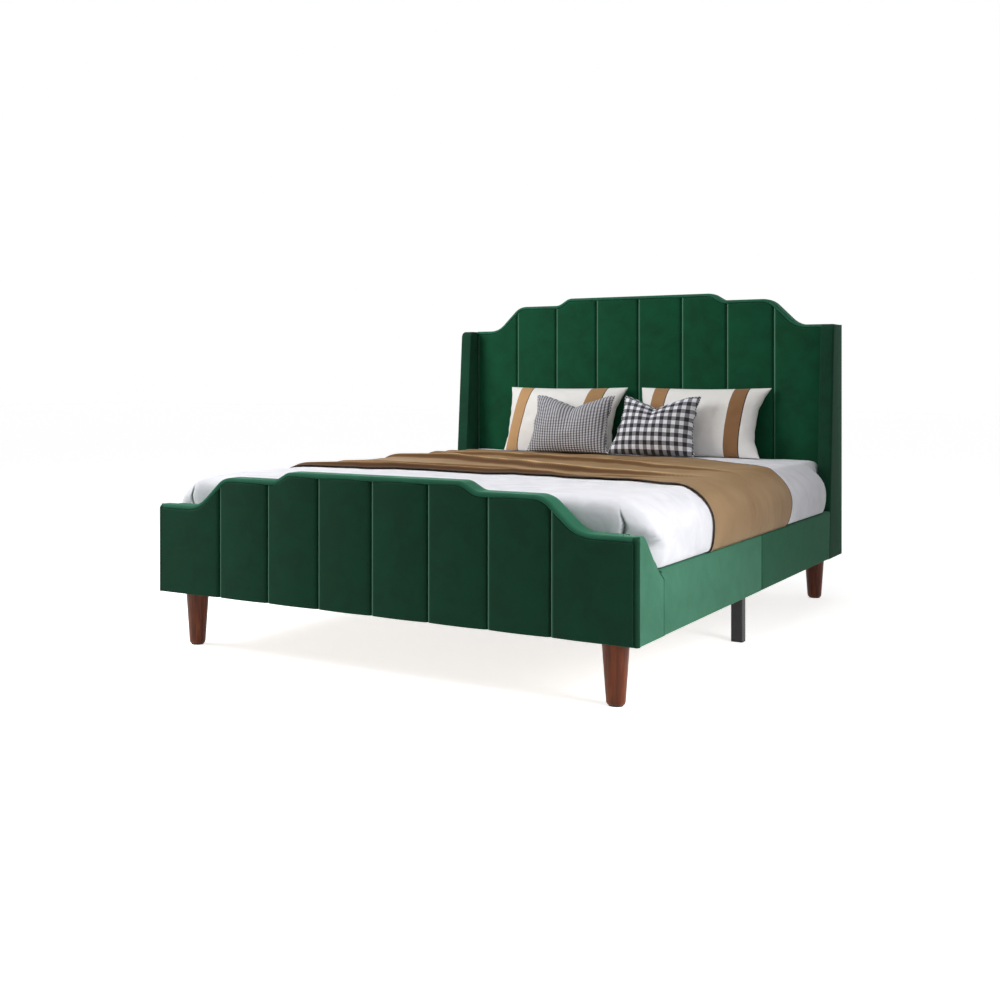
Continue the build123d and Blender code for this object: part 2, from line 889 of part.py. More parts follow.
def beam_channel(y_span):
    """Adds the steel channel that the centre beam lies in to the open part."""
    bar((-channel_half_width, channel_half_width), y_span, (channel_bottom, channel_top))
    bar(
        (-beam_width / 2 - seat_clearance, beam_width / 2 + seat_clearance),
        (y_span[0] - cut_overrun, y_span[1] + cut_overrun),
        (beam_bottom, channel_top + cut_overrun),
        mode=Mode.SUBTRACT,
    )


beam_brackets = []
for plate_y, inwards in ((foot_inner_y, 1), (head_inner_y, -1)):
    with BuildPart() as beam_hanger:
        beam_channel(sorted((plate_y, plate_y + inwards * hanger_seat_length)))
        bar(
            (-hanger_plate_width / 2, hanger_plate_width / 2),
            sorted((plate_y, plate_y + inwards * joiner_thickness)),
            (channel_bottom, channel_top),
        )
    beam_brackets.append(beam_hanger.part)

with BuildPart() as beam_sleeve:
    beam_channel((middle_leg_y - sleeve_length / 2, middle_leg_y + sleeve_length / 2))
    cut_bolt_holes(centre_bolts, centre_bolt_length)
beam_brackets.append(beam_sleeve.part)
export_group(beam_brackets, "beam_brackets")


# Middle legs: square steel tube with a welded top plate, under the rail joints and the centre beam
tube_side = 38
tube_wall = 2
tube_corner_radius = 4
top_plate_width = 50
top_plate_length = 72
glide_height = 4
glide_plug_height = 14

tube_bore = tube_side - 2 * tube_wall


def square_leg(x, y, top, bolts, bolt_length):
    """One square leg from its glide up to its seat, as two bodies welded into one."""
    plate_bottom = top - top_plate_thickness
    with BuildPart() as leg:
        with BuildSketch(Plane((x, y, glide_height))):
            RectangleRounded(tube_side, tube_side, tube_corner_radius)
            Rectangle(tube_bore, tube_bore, mode=Mode.SUBTRACT)
        extrude(amount=plate_bottom - glide_height)
        with BuildSketch(Plane((x, y, plate_bottom))):
            Rectangle(top_plate_width, top_plate_length)
        extrude(amount=top_plate_thickness)
        cut_bolt_holes(bolts, bolt_length)
    return leg.part


for side, name in ((-1, "middle_leg_left"), (1, "middle_leg_right")):
    middle_leg = square_leg(
        side * middle_leg_x, middle_leg_y, ground_clearance, seat_bolts(side), seat_bolt_length
    )
    export(middle_leg, name)
export(square_leg(0, middle_leg_y, channel_bottom, centre_bolts, centre_bolt_length), "centre_leg")


# Corner legs: turned, tapered hardwood with a bevelled foot
leg_top_radius = 37.5
leg_foot_radius = 25.5
leg_foot_bevel = 4
felt_height = 3
felt_radius = 20


def corner_leg(x, y):
    """One tapered leg under a corner of the bed."""
    with BuildPart() as leg:
        with BuildSketch(Plane((x, y, 0), x_dir=(1, 0, 0), z_dir=(0, -1, 0))):
            with BuildLine():
                Polyline(
                    (0, felt_height),
                    (leg_foot_radius - leg_foot_bevel, felt_height),
                    (leg_foot_radius, felt_height + leg_foot_bevel),
                    (leg_top_radius, ground_clearance),
                    (0, ground_clearance),
                    close=True,
                )
            make_face()
        revolve(axis=Axis((x, y, 0), (0, 0, 1)))
        cut_bolt_holes(leg_bolt_planes, leg_bolt_length)
    return leg.part


for name, (x, y) in leg_places.items():
    export(corner_leg(x, y), name)


# Glides: felt discs under the corner legs, and plastic plugs in the square tubes
glides = []
for x, y in leg_places.values():
    with BuildPart() as felt_disc:
        with BuildSketch(Plane((x, y, 0))):
            Circle(felt_radius)
        extrude(amount=felt_height)
    glides.append(felt_disc.part)

plug_side = tube_bore - 2 * seat_clearance
for x in (-middle_leg_x, middle_leg_x, 0):
    with BuildPart() as tube_plug:
        with BuildSketch(Plane((x, middle_leg_y, 0))):
            RectangleRounded(tube_side, tube_side, tube_corner_radius)
        extrude(amount=glide_height)
        with BuildSketch(Plane((x, middle_leg_y, glide_height))):
            Rectangle(plug_side, plug_side)
        extrude(amount=glide_plug_height)
    glides.append(tube_plug.part)
export_group(glides, "leg_glides")


# Bed bolts: every bolt planned above

bed_bolts = []
for side in (-1, 1):
    bed_bolts += [bolt(plane, joiner_bolt_length) for plane in side_joiner_bolts(side)]
    bed_bolts += [bolt(plane, wing_bolt_length) for plane in wing_bolts(side)]
    bed_bolts += [bolt(plane, seat_bolt_length) for plane in seat_bolts(side)]
bed_bolts += [bolt(plane, centre_bolt_length) for plane in centre_bolts]
bed_bolts += [bolt(plane, leg_bolt_length, with_head=False) for plane in leg_bolt_planes]
export_group(bed_bolts, "bed_bolts")


# Mattress: a rounded block on the slats
mattress_corner_radius = 70
mattress_edge_bevel = 25

mattress_bottom = deck_top + seat_clearance
mattress_top = mattress_bottom + mattress_thickness

with BuildPart() as mattress:
    with BuildSketch(Plane.XY.offset(mattress_bottom)):
        RectangleRounded(mattress_width, mattress_length, mattress_corner_radius)
    extrude(amount=mattress_thickness)
    chamfer(mattress.faces().sort_by(Axis.Z)[-1].edges(), length=mattress_edge_bevel)
export(mattress.part, "mattress")


# Duvet: white bedding over the mattress, tucked in below the rails' top and plump above it
duvet_tuck_gap = 4
duvet_bulge = 30
duvet_rest_set_in = 3
duvet_bulge_above_rail = 91
duvet_top_thickness = 17
duvet_shoulder_width = 85
duvet_rail_gap = 3
duvet_end_gap = 2
duvet_tuck_depth = 39
duvet_bulge_from_front = 155
duvet_bulge_from_back = 290
duvet_bulge_taper = 90

duvet_top = mattress_top + duvet_top_thickness
duvet_bulge_z = rail_top + duvet_bulge_above_rail
duvet_tuck_bottom = rail_top - duvet_tuck_depth
duvet_narrow_x = inner_half_width - duvet_tuck_gap
duvet_wide_x = inner_half_width + duvet_bulge
duvet_rest_x = duvet_wide_x - duvet_rest_set_in
duvet_shoulder_x = duvet_wide_x - duvet_shoulder_width
duvet_bulge_bottom = rail_top + duvet_rail_gap
duvet_end_y = -foot_inner_y - duvet_end_gap
duvet_notch_y = -half_length + duvet_bulge_from_front


def bedding_section(grow, bottom):
    """The duvet's section across the bed as a face, grown outwards by grow."""
    with BuildSketch() as section:
        with BuildLine():
            Line((-duvet_shoulder_x, duvet_top + grow), (duvet_shoulder_x, duvet_top + grow))
            for side in (-1, 1):
                wide = (side * (duvet_wide_x + grow), duvet_bulge_z)
                rest = (side * (duvet_rest_x + grow), duvet_bulge_bottom)
                tuck = (side * (duvet_narrow_x + grow), duvet_bulge_bottom)
                shoulder = (side * duvet_shoulder_x, duvet_top + grow)
                TangentArc(wide, shoulder, tangent=(0, 1))
                TangentArc(wide, rest, tangent=(0, -1))
                Polyline(rest, tuck, (tuck[0], bottom))
            Line((-duvet_narrow_x - grow, bottom), (duvet_narrow_x + grow, bottom))
        make_face()
    return section.sketch


with BuildPart() as duvet:
    with BuildSketch(plane_facing_foot(duvet_end_y)):
        add(bedding_section(0, duvet_tuck_bottom))
    extrude(amount=2 * duvet_end_y)
    with BuildSketch(Plane.XY.offset(duvet_tuck_bottom)) as duvet_plan:
        bulge_end_y = half_length - duvet_bulge_from_back
        right_edge = [
            (duvet_wide_x, -duvet_end_y),
            (duvet_wide_x, bulge_end_y),
            (duvet_narrow_x, bulge_end_y + duvet_bulge_taper),
            (duvet_narrow_x, duvet_end_y),
        ]
        with BuildLine():
            Polyline(*right_edge, *[(-x, y) for x, y in reversed(right_edge)], close=True)
        make_face()
        plan_rows = duvet_plan.vertices().group_by(Axis.Y)
        fillet(plan_rows[0] + plan_rows[-1], radius=mattress_corner_radius)
    extrude(amount=duvet_top, mode=Mode.INTERSECT)
    for side in (-1, 1):
        bar(
            sorted((side * duvet_narrow_x, side * (duvet_wide_x + cut_overrun))),
            (-duvet_end_y - cut_overrun, duvet_notch_y),
            (duvet_tuck_bottom - cut_overrun, footboard_low + duvet_rail_gap),
            mode=Mode.SUBTRACT,
        )
    add(mattress.part, mode=Mode.SUBTRACT)
export(duvet.part, "duvet")


# Throw: a satin cloth laid askew across the bed, with its main folds running from side to side
throw_thickness = 6
fold_count = 6
fold_radius = 78
fold_height = 16
throw_corner_radius = 60
throw_front_shares = ((-1.1, -0.46), (-0.3, -0.27), (0.7, -0.34), (0.94, -0.43), (1.1, -0.43))
throw_rear_shares = ((1.1, 0.41), (0.9, 0.45), (0.58, 0.785), (0.05, 0.785), (-1.1, 0.86))
fold_line_shares = (
    (-0.92, 0.1, -0.36, 0.62),
    (-0.1, 1.0, -0.18, 0.55),
    (0.86, -0.1, -0.24, 0.3),
)

throw_gap = seat_clearance
throw_outside = throw_gap + throw_thickness
fold_foot_z = duvet_top + throw_outside


def on_mattress(shares):
    """Plan points from shares of half the mattress's width and length."""
    return [(x * mattress_width / 2, y * mattress_length / 2) for x, y in shares]


with BuildPart() as throw:
    with BuildSketch(plane_facing_foot(duvet_end_y)):
        add(bedding_section(throw_outside, duvet_tuck_bottom))
    extrude(amount=2 * duvet_end_y)
    with BuildSketch(Plane.XY.offset(duvet_bulge_bottom)):
        front_edge = on_mattress(throw_front_shares)
        rear_edge = on_mattress(throw_rear_shares)
        with BuildLine():
            FilletPolyline(*front_edge, radius=throw_corner_radius)
            Line(front_edge[-1], rear_edge[0])
            FilletPolyline(*rear_edge, radius=throw_corner_radius)
            Line(rear_edge[-1], front_edge[0])
        make_face()
    extrude(amount=duvet_top, mode=Mode.INTERSECT)
    for number in range(fold_count):
        fold_share = number / (fold_count - 1)
        crest = [
            (
                x_share * mattress_width / 2,
                (front_share + fold_share * (rear_share - front_share)) * mattress_length / 2,
                fold_foot_z + fold_height * height_share - fold_radius,
            )
            for x_share, height_share, front_share, rear_share in fold_line_shares
        ]
        with BuildLine():
            Polyline(*crest)
        first_run = Vector(*crest[1]) - Vector(*crest[0])
        with BuildSketch(Plane(crest[0], z_dir=first_run)):
            Circle(fold_radius)
        sweep(transition=Transition.RIGHT)
    with BuildSketch(plane_facing_foot(duvet_end_y)):
        add(bedding_section(throw_gap, duvet_tuck_bottom - cut_overrun))
    extrude(amount=2 * duvet_end_y, mode=Mode.SUBTRACT)
export(throw.part, "throw")


# Pillows and cushions: each swells between its seams, with drawn-in sides and pointed corners
pillow_width = 551
pillow_height = 293
pillow_thickness = 124
pillow_tilt = 18
pillow_foot_from_headboard = 115
pillow_gap = 53
pillow_middle_x = -3
cushion_width = 348
cushion_height = 250
cushion_thickness = 112
cushion_tilt = 16.4
cushion_foot_from_pillows = 119
cushion_gap = 15
cushion_middle_x = -24.5
side_draw = 16
soft_sink = 20
section_shares = (0, 0.12, 0.32, 0.5, 0.68, 0.88, 1)
section_thick_shares = (0.14, 0.55, 0.92, 1, 0.92, 0.55, 0.14)
pillow_tall_shares = (1, 0.97, 0.945, 0.94, 0.945, 0.97, 1)
cushion_tall_shares = (1, 0.97, 0.9, 0.82, 0.9, 0.97, 1)

pillow_foot_y = head_inner_y - pillow_foot_from_headboard
cushion_foot_y = pillow_foot_y - cushion_foot_from_pillows


def soft_square(x_span, foot_y, height, thickness, tilt, tall_shares, support):
    """A pillow that leans back by tilt and stands on the bedding's top, grown by support."""
    up = (0, math.sin(math.radians(tilt)), math.cos(math.radians(tilt)))
    outwards = (0, -up[2], up[1])
    width = x_span[1] - x_span[0]
    foot_z = duvet_top + support
    with BuildPart() as pillow:
        for share, thick_share, tall_share in zip(
            section_shares, section_thick_shares, tall_shares
        ):
            top = height * tall_share
            swell = thickness * thick_share / 2
            middle = (top - soft_sink) / 2
            with BuildSketch(Plane((x_span[0] + share * width, foot_y, foot_z), up, (1, 0, 0))):
                with BuildLine():
                    ThreePointArc((-soft_sink, 0), (middle, swell), (top, 0))
                    ThreePointArc((top, 0), (middle, -swell), (-soft_sink, 0))
                make_face()
        loft()
        with BuildSketch(Plane((x_span[0], foot_y, foot_z), (1, 0, 0), outwards)):
            with BuildLine():
                ThreePointArc((0, 0), (side_draw, height / 2), (0, height))
                Line((0, height), (width, height))
                ThreePointArc((width, height), (width - side_draw, height / 2), (width, 0))
                Polyline((width, 0), (width, -soft_sink), (0, -soft_sink), (0, 0))
            make_face()
        extrude(amount=thickness, both=True, mode=Mode.INTERSECT)
        with BuildSketch(plane_facing_foot(duvet_end_y)):
            add(bedding_section(support, duvet_tuck_bottom))
        extrude(amount=duvet_end_y, mode=Mode.SUBTRACT)
    return pillow.part


def pair_spans(middle, gap, width):
    """The spans across the bed of a left and a right piece on either side of a gap."""
    left_inner = middle - gap / 2
    right_inner = middle + gap / 2
    return {"left": (left_inner - width, left_inner), "right": (right_inner, right_inner + width)}


for side, x_span in pair_spans(pillow_middle_x, pillow_gap, pillow_width).items():
    pillow = soft_square(
        x_span,
        pillow_foot_y,
        pillow_height,
        pillow_thickness,
        pillow_tilt,
        pillow_tall_shares,
        seat_clearance,
    )
    export(pillow, f"pillow_{side}")

for side, x_span in pair_spans(cushion_middle_x, cushion_gap, cushion_width).items():
    cushion = soft_square(
        x_span,
        cushion_foot_y,
        cushion_height,
        cushion_thickness,
        cushion_tilt,
        cushion_tall_shares,
        throw_outside + seat_clearance,
    )
    export(cushion, f"cushion_{side}")
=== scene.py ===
import math

import bmesh
import bpy
import numpy as np
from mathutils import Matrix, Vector


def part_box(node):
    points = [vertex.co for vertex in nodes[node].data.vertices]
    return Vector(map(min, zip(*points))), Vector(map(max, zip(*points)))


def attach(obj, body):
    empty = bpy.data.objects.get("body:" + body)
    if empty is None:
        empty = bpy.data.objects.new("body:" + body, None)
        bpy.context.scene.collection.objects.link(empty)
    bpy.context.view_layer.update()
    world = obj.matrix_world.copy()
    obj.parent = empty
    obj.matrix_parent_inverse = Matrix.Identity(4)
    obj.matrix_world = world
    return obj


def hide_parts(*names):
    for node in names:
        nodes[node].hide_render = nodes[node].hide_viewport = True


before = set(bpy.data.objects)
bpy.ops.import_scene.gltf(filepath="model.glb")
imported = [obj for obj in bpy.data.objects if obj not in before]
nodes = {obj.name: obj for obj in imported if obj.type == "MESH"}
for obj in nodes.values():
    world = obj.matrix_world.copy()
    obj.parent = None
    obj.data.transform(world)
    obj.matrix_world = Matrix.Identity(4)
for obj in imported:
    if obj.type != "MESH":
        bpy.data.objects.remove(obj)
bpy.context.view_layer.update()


# Panels: the upright boards inside the headboard, the footboard and the wings.
# Birch plywood, sawn and sanded, screwed to the timber frames behind them.

def linear(hex_colour):
    """A linear colour with full alpha from an sRGB hex value."""
    parts = [int(hex_colour[i : i + 2], 16) / 255 for i in (1, 3, 5)]
    return [c / 12.92 if c < 0.04045 else ((c + 0.055) / 1.055) ** 2.4 for c in parts] + [1.0]


def add_node(tree, kind, inputs=None, stops=(), **settings):
    """Adds one shader node of a kind, with its settings. An input is a plain value, a socket or a node,
    which stands for its first output in use. stops are a colour ramp's (place, hex colour) pairs."""
    node = tree.nodes.new("ShaderNode" + kind)
    for name, value in settings.items():
        setattr(node, name, value)
    for number, (place, colour) in enumerate(stops):
        if number >= len(node.color_ramp.elements):
            node.color_ramp.elements.new(place)
        node.color_ramp.elements[number].position = place
        node.color_ramp.elements[number].color = linear(colour)
    for socket, value in (inputs or {}).items():
        if isinstance(value, bpy.types.Node):
            value = next(output for output in value.outputs if output.enabled)
        if isinstance(value, bpy.types.NodeSocket):
            tree.links.new(value, node.inputs[socket])
        else:
            node.inputs[socket].default_value = value
    return node


def new_finish(name):
    """An empty material, its node tree and its surface's place in the bed's own coordinates."""
    finish = bpy.data.materials.new(name)
    finish.use_nodes = True
    finish.node_tree.nodes.clear()
    return finish, finish.node_tree, add_node(finish.node_tree, "TexCoord").outputs["Object"]


def finish_nodes(finish, *names):
    """Gives pieces of the frame their finish."""
    for name in names:
        for slot in nodes[name].material_slots:
            slot.material = finish


# Birch plywood, sanded: a pale face with long soft figure, and 1.6 mm veneers as lines on cut edges
plywood, tree, place = new_finish("birch plywood, sanded")
long_grain = add_node(tree, "Mapping", {"Vector": place, "Scale": (14, 14, 1.4)})
figure = add_node(tree, "TexNoise", {"Vector": long_grain, "Scale": 5, "Detail": 8, "Roughness": 0.6})
face = add_node(tree, "ValToRGB", {"Fac": figure}, stops=[(0.3, "#b8966a"), (0.7, "#d3b68b")])
veneers = add_node(
    tree, "TexWave", {"Vector": place, "Scale": 100, "Distortion": 0.4, "Detail": 2}, bands_direction="Y"
)
edge = add_node(
    tree, "Mix", {"Factor": 0.25, "A": face, "B": veneers}, data_type="RGBA", blend_type="MULTIPLY"
)
raised = add_node(tree, "Bump", {"Height": figure, "Distance": 0.0003})
shader = add_node(tree, "BsdfPrincipled", {"Base Color": edge, "Roughness": 0.62, "Normal": raised})
add_node(tree, "OutputMaterial", {"Surface": shader})
finish_nodes(plywood, "headboard_panel", "footboard_panel", "wing_board_left", "wing_board_right")


# Timber: the frames inside both end boards, the rail boards, ledges, slats and centre beam.
# Planed pine, left bare, sawn with its grain along the length of each piece.

def pine(name, grain_scale):
    """Pine whose growth rings are drawn out along the axis with the smallest scale."""
    wood, tree, place = new_finish(name)
    drawn = add_node(tree, "Mapping", {"Vector": place, "Scale": grain_scale})
    rings = add_node(tree, "TexNoise", {"Vector": drawn, "Scale": 30, "Detail": 5, "Distortion": 0.6})
    # Fibres are drawn 4 mm wide, coarser than real ones so that they show
    fibres = add_node(tree, "TexNoise", {"Vector": drawn, "Scale": 220, "Detail": 3})
    tone = add_node(tree, "ValToRGB", {"Fac": rings}, stops=[(0.38, "#c79c66"), (0.62, "#e2c394")])
    colours = {"Factor": 0.3, "A": tone, "B": fibres.outputs["Color"]}
    lined = add_node(tree, "Mix", colours, data_type="RGBA", blend_type="SOFT_LIGHT")
    raised = add_node(tree, "Bump", {"Height": fibres, "Distance": 0.0002})
    shader = add_node(tree, "BsdfPrincipled", {"Base Color": lined, "Roughness": 0.58, "Normal": raised})
    add_node(tree, "OutputMaterial", {"Surface": shader})
    return wood


# Planed pine: warm straw yellow with darker growth rings, dull and slightly furred
pine_across = pine("planed pine, grain across the bed", (0.06, 1, 1))
pine_along = pine("planed pine, grain along the bed", (1, 0.06, 1))
finish_nodes(pine_across, "headboard_timber", "footboard_timber", "slats")
finish_nodes(pine_along, "slat_ledges", "centre_beam", "rail_board_front_left", "rail_board_front_right")
finish_nodes(pine_along, "rail_board_rear_left", "rail_board_rear_right")


# Joiners, hangers and bolts: pressed and turned mild steel, zinc plated against rust.
# Screwed to the boards, they hook the rails to both end boards and carry the beam.

# Zinc plate: a bright cool grey with a faint spangle and cloudy smears in its gloss
zinc, tree, place = new_finish("zinc plated steel")
spangle = add_node(tree, "TexVoronoi", {"Vector": place, "Scale": 160})
tone = add_node(tree, "ValToRGB", {"Fac": spangle}, stops=[(0.1, "#9fa3a6"), (0.8, "#c6c9cb")])
smears = add_node(tree, "TexNoise", {"Vector": place, "Scale": 60, "Detail": 3})
gloss = add_node(tree, "MapRange", {"Value": smears, "To Min": 0.28, "To Max": 0.44})
raised = add_node(tree, "Bump", {"Height": smears, "Distance": 0.0001})
shader = add_node(
    tree, "BsdfPrincipled", {"Base Color": tone, "Metallic": 1.0, "Roughness": gloss, "Normal": raised}
)
add_node(tree, "OutputMaterial", {"Surface": shader})
finish_nodes(zinc, "joiner_plates", "beam_brackets", "bed_bolts")


# Middle legs: square steel tube under the middle of the rails and the beam.
# Cut, plugged and powder coated matt black, then screwed up into the wood.

# Powder coat: near black and low in gloss, with a fine pebbled skin
black_coat, tree, place = new_finish("black powder coat")
# Pebbles are drawn 1.4 mm apart, coarser than real ones so that they show
pebbles = add_node(tree, "TexNoise", {"Vector": place, "Scale": 700, "Detail": 2})
tone = add_node(tree, "ValToRGB", {"Fac": pebbles}, stops=[(0.3, "#141416"), (0.7, "#232326")])
raised = add_node(tree, "Bump", {"Height": pebbles, "Distance": 0.0002})
shader = add_node(tree, "BsdfPrincipled", {"Base Color": tone, "Roughness": 0.5, "Normal": raised})
add_node(tree, "OutputMaterial", {"Surface": shader})
finish_nodes(black_coat, "middle_leg_left", "middle_leg_right", "centre_leg")


# Corner legs: hardwood turned to a taper, stained walnut and sealed with a satin lacquer.
# Each is a profile carried round its own axis, eased at the foot, and bolts up into the corner.

def box_of(name):
    """The lowest and the highest corner of a piece of the frame, to a hundredth of a millimetre."""
    return [[round(value, 5) for value in corner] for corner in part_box(name)]


glide_top, underside = [corner[2] for corner in box_of("leg_front_right")]
foot_radius, top_radius = 0.0262, 0.0375
leg_profile = np.concatenate([
    [(0.0, glide_top), (0.0205, glide_top), (0.0232, 0.0042), (0.0253, 0.0078)],
    np.linspace((foot_radius, 0.014), (top_radius, underside - 0.0012), 11),
    [(0.0368, underside - 0.0003), (0.0355, underside), (0.0, underside)],
])


def new_piece(name, points, faces, finish, body, slot, replaced=(), closed=True, sharp=45):
    """Makes a piece from points and faces, gives it its finish and fixes it to a body of the bed. A closed
    one has its doubles merged and its faces turned outwards."""
    mesh = bpy.data.meshes.new(name)
    mesh.from_pydata(points.tolist(), [], faces.tolist() if isinstance(faces, np.ndarray) else faces)
    if closed:
        shell = bmesh.new()
        shell.from_mesh(mesh)
        bmesh.ops.remove_doubles(shell, verts=shell.verts, dist=1e-6)
        bmesh.ops.recalc_face_normals(shell, faces=shell.faces)
        shell.to_mesh(mesh)
        shell.free()
    mesh.validate()
    mesh.shade_smooth()
    mesh.set_sharp_from_angle(angle=math.radians(sharp))
    mesh.materials.append(finish)
    piece = bpy.data.objects.new(name, mesh)
    bpy.context.scene.collection.objects.link(piece)
    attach(piece, body)
    if replaced:
        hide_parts(*replaced)
    return piece


def grid_faces(rows, columns, wrap=False):
    """Quads between neighbours of a grid stored row by row. With wrap each row is a closed ring."""
    row, column = np.meshgrid(np.arange(rows - 1), np.arange(columns - (not wrap)), indexing="ij")
    row, column = row.ravel(), column.ravel()
    start, following = row * columns, (column + 1) % columns
    quad = [start + column, start + following, start + columns + following, start + columns + column]
    return np.stack(quad, axis=1)


def turned(profile, middle, segments=48):
    """A profile of (radius, height) carried round an upright axis through middle, by x = r cos t and
    y = r sin t from there."""
    radius, height = profile.T
    turn = np.linspace(0, 2 * np.pi, segments, endpoint=False)
    x = middle[0] + radius[:, None] * np.cos(turn)
    y = middle[1] + radius[:, None] * np.sin(turn)
    points = np.stack([x, y, np.repeat(height[:, None], segments, axis=1)], axis=-1)
    return points.reshape(-1, 3), grid_faces(len(profile), segments, wrap=True)


# Walnut stain under satin lacquer: red brown with darker upright figure and a soft even shine
walnut, tree, place = new_finish("walnut stained hardwood, satin lacquer")
upright = add_node(tree, "Mapping", {"Vector": place, "Scale": (1, 1, 0.07)})
figure = add_node(tree, "TexNoise", {"Vector": upright, "Scale": 75, "Detail": 6, "Distortion": 0.8})
# Pores are drawn 2 mm wide, coarser than real ones so that they show
pores = add_node(tree, "TexNoise", {"Vector": upright, "Scale": 420, "Detail": 3})
tone = add_node(tree, "ValToRGB", {"Fac": figure}, stops=[(0.36, "#4b1e0a"), (0.64, "#793a17")])
colours = {"Factor": 0.35, "A": tone, "B": pores.outputs["Color"]}
stained = add_node(tree, "Mix", colours, data_type="RGBA", blend_type="OVERLAY")
raised = add_node(tree, "Bump", {"Height": pores, "Distance": 0.00015})
shader = add_node(
    tree, "BsdfPrincipled",
    {
        "Base Color": stained, "Roughness": 0.46, "Specular IOR Level": 0.25, "Normal": raised,
        "Coat Weight": 0.05, "Coat Roughness": 0.3,
    },
)
add_node(tree, "OutputMaterial", {"Surface": shader})
for name in ("leg_front_left", "leg_front_right", "leg_rear_left", "leg_rear_right"):
    leg = turned(leg_profile, np.mean(box_of(name), axis=0))
    new_piece(name + "_turned", *leg, walnut, "bed_frame", "walnut", [name], sharp=60)


# Glides: discs of grey felt under the corner legs and moulded black plugs in the square tubes.
# They are pushed or stuck on, and keep the legs off the floor.

# Felt and plastic: dark grey without shine, with a short fuzz
glide, tree, place = new_finish("pressed felt and moulded plastic")
fuzz = add_node(tree, "TexNoise", {"Vector": place, "Scale": 1200, "Detail": 4})
tone = add_node(tree, "ValToRGB", {"Fac": fuzz}, stops=[(0.3, "#2b2927"), (0.7, "#46423e")])
raised = add_node(tree, "Bump", {"Height": fuzz, "Distance": 0.0004})
shader = add_node(tree, "BsdfPrincipled", {"Base Color": tone, "Roughness": 0.9, "Normal": raised})
add_node(tree, "OutputMaterial", {"Surface": shader})
finish_nodes(glide, "leg_glides")


# Channel pads: foam under cotton velvet, sewn down to the panel along each upright seam.
# Eight cover the front of the footboard and eight the headboard, all cut to its stepped edge.

# The stepped edge's three levels, and its steps: the foot of the big and of the small slope, each with
# its angle in degrees
foot_heights = (0.461, 0.557, 0.584)
foot_steps = (0.656, 43, 0.348, 30)
head_heights = (1.085, 1.192, 1.222)
head_steps = (0.664, 45, 0.366, 32)
hollow_radius = 0.092
crown_radius = 0.075
small_radius = 0.052
seam_pitch = 0.19
seams = (seam_pitch * np.arange(-3, 4)).tolist()
border_depth = 0.014


def velvet(name, deep, pale, sheen):
    """Velvet between a deep and a pale tone, with a sheen of the given weight."""
    cloth, tree, place = new_finish(name)
    # Crush marks 60 to 120 mm across, where the pile leans one way or the other
    crush = add_node(
        tree, "TexNoise", {"Vector": place, "Scale": 11, "Detail": 4, "Roughness": 0.55, "Distortion": 0.4}
    )
    # Tufts are drawn 1.5 mm apart, coarser than real pile so that they still show
    pile = add_node(tree, "TexNoise", {"Vector": place, "Scale": 650, "Detail": 2})
    brushed = add_node(tree, "ValToRGB", {"Fac": crush}, stops=[(0.3, deep), (0.72, pale)])
    # Right of each seam a pale green line is painted on: a painted highlight on the pad's shoulder
    seam_highlight = add_node(tree, "Attribute", attribute_name="painted_seam_highlight")
    colours = {"Factor": seam_highlight.outputs["Fac"], "A": brushed, "B": linear("#7fb59a")}
    seam_highlighted = add_node(tree, "Mix", colours, data_type="RGBA")
    colours = {"Factor": 0.22, "A": seam_highlighted, "B": pile.outputs["Color"]}
    tone = add_node(tree, "Mix", colours, data_type="RGBA", blend_type="SOFT_LIGHT")
    rough = add_node(tree, "MapRange", {"Value": crush, "To Min": 0.72, "To Max": 0.92})
    pressed = add_node(tree, "Bump", {"Height": crush, "Distance": 0.0012})
    raised = add_node(tree, "Bump", {"Height": pile, "Distance": 0.0003, "Strength": 0.6, "Normal": pressed})
    shader = add_node(
        tree, "BsdfPrincipled",
        {
            "Base Color": tone, "Roughness": rough, "Specular IOR Level": 0.15, "Normal": raised,
            "Sheen Weight": sheen, "Sheen Roughness": 0.27, "Sheen Tint": linear("#8fc7aa"),
        },
    )
    add_node(tree, "OutputMaterial", {"Surface": shader})
    return cloth


def waviness(x, y, wavelength, seed):
    """Between -1 and 1: the mean of seven sine waves of about that length in seeded directions."""
    chance = np.random.default_rng(seed)
    angles, phases = chance.uniform(0, 6.28, 7), chance.uniform(0, 6.28, 7)
    total = 0
    for angle, phase, stretch in zip(angles, phases, chance.uniform(0.7, 1.5, 7)):
        along = x * np.cos(angle) + y * np.sin(angle)
        total = total + np.sin(along * 2 * np.pi * stretch / wavelength + phase)
    return total / 7


def rounded_corners(corners, radii, run_points, arc_steps=10):
    """An open line through corners. Each is rounded by an arc that touches both of its runs, drawn
    between its ends by their angle, with run_points spread evenly on every run."""
    corners = np.array(corners, float)
    share = np.linspace(0, 1, arc_steps)[:, None]
    arcs = [corners[:1]]
    for before, corner, after, radius in zip(corners, corners[1:], corners[2:], radii):
        back = (before - corner) / np.linalg.norm(before - corner)
        ahead = (after - corner) / np.linalg.norm(after - corner)
        half = np.arccos(np.clip(back @ ahead, -1, 1)) / 2
        centre = corner + (back + ahead) / np.linalg.norm(back + ahead) * radius / np.sin(half)
        first = corner + back * radius / np.tan(half) - centre
        last = corner + ahead * radius / np.tan(half) - centre
        sweep = np.pi - 2 * half
        arc = np.sin((1 - share) * sweep) * first + np.sin(share * sweep) * last
        arcs.append(centre + arc / np.sin(sweep))
    arcs.append(corners[-1:])
    between = np.linspace(0, 1, run_points + 2)[1:-1, None]
    line = [arcs[0]]
    for here, there in zip(arcs, arcs[1:]):
        line += [here[-1] + (there[0] - here[-1]) * between, there]
    return np.concatenate(line)


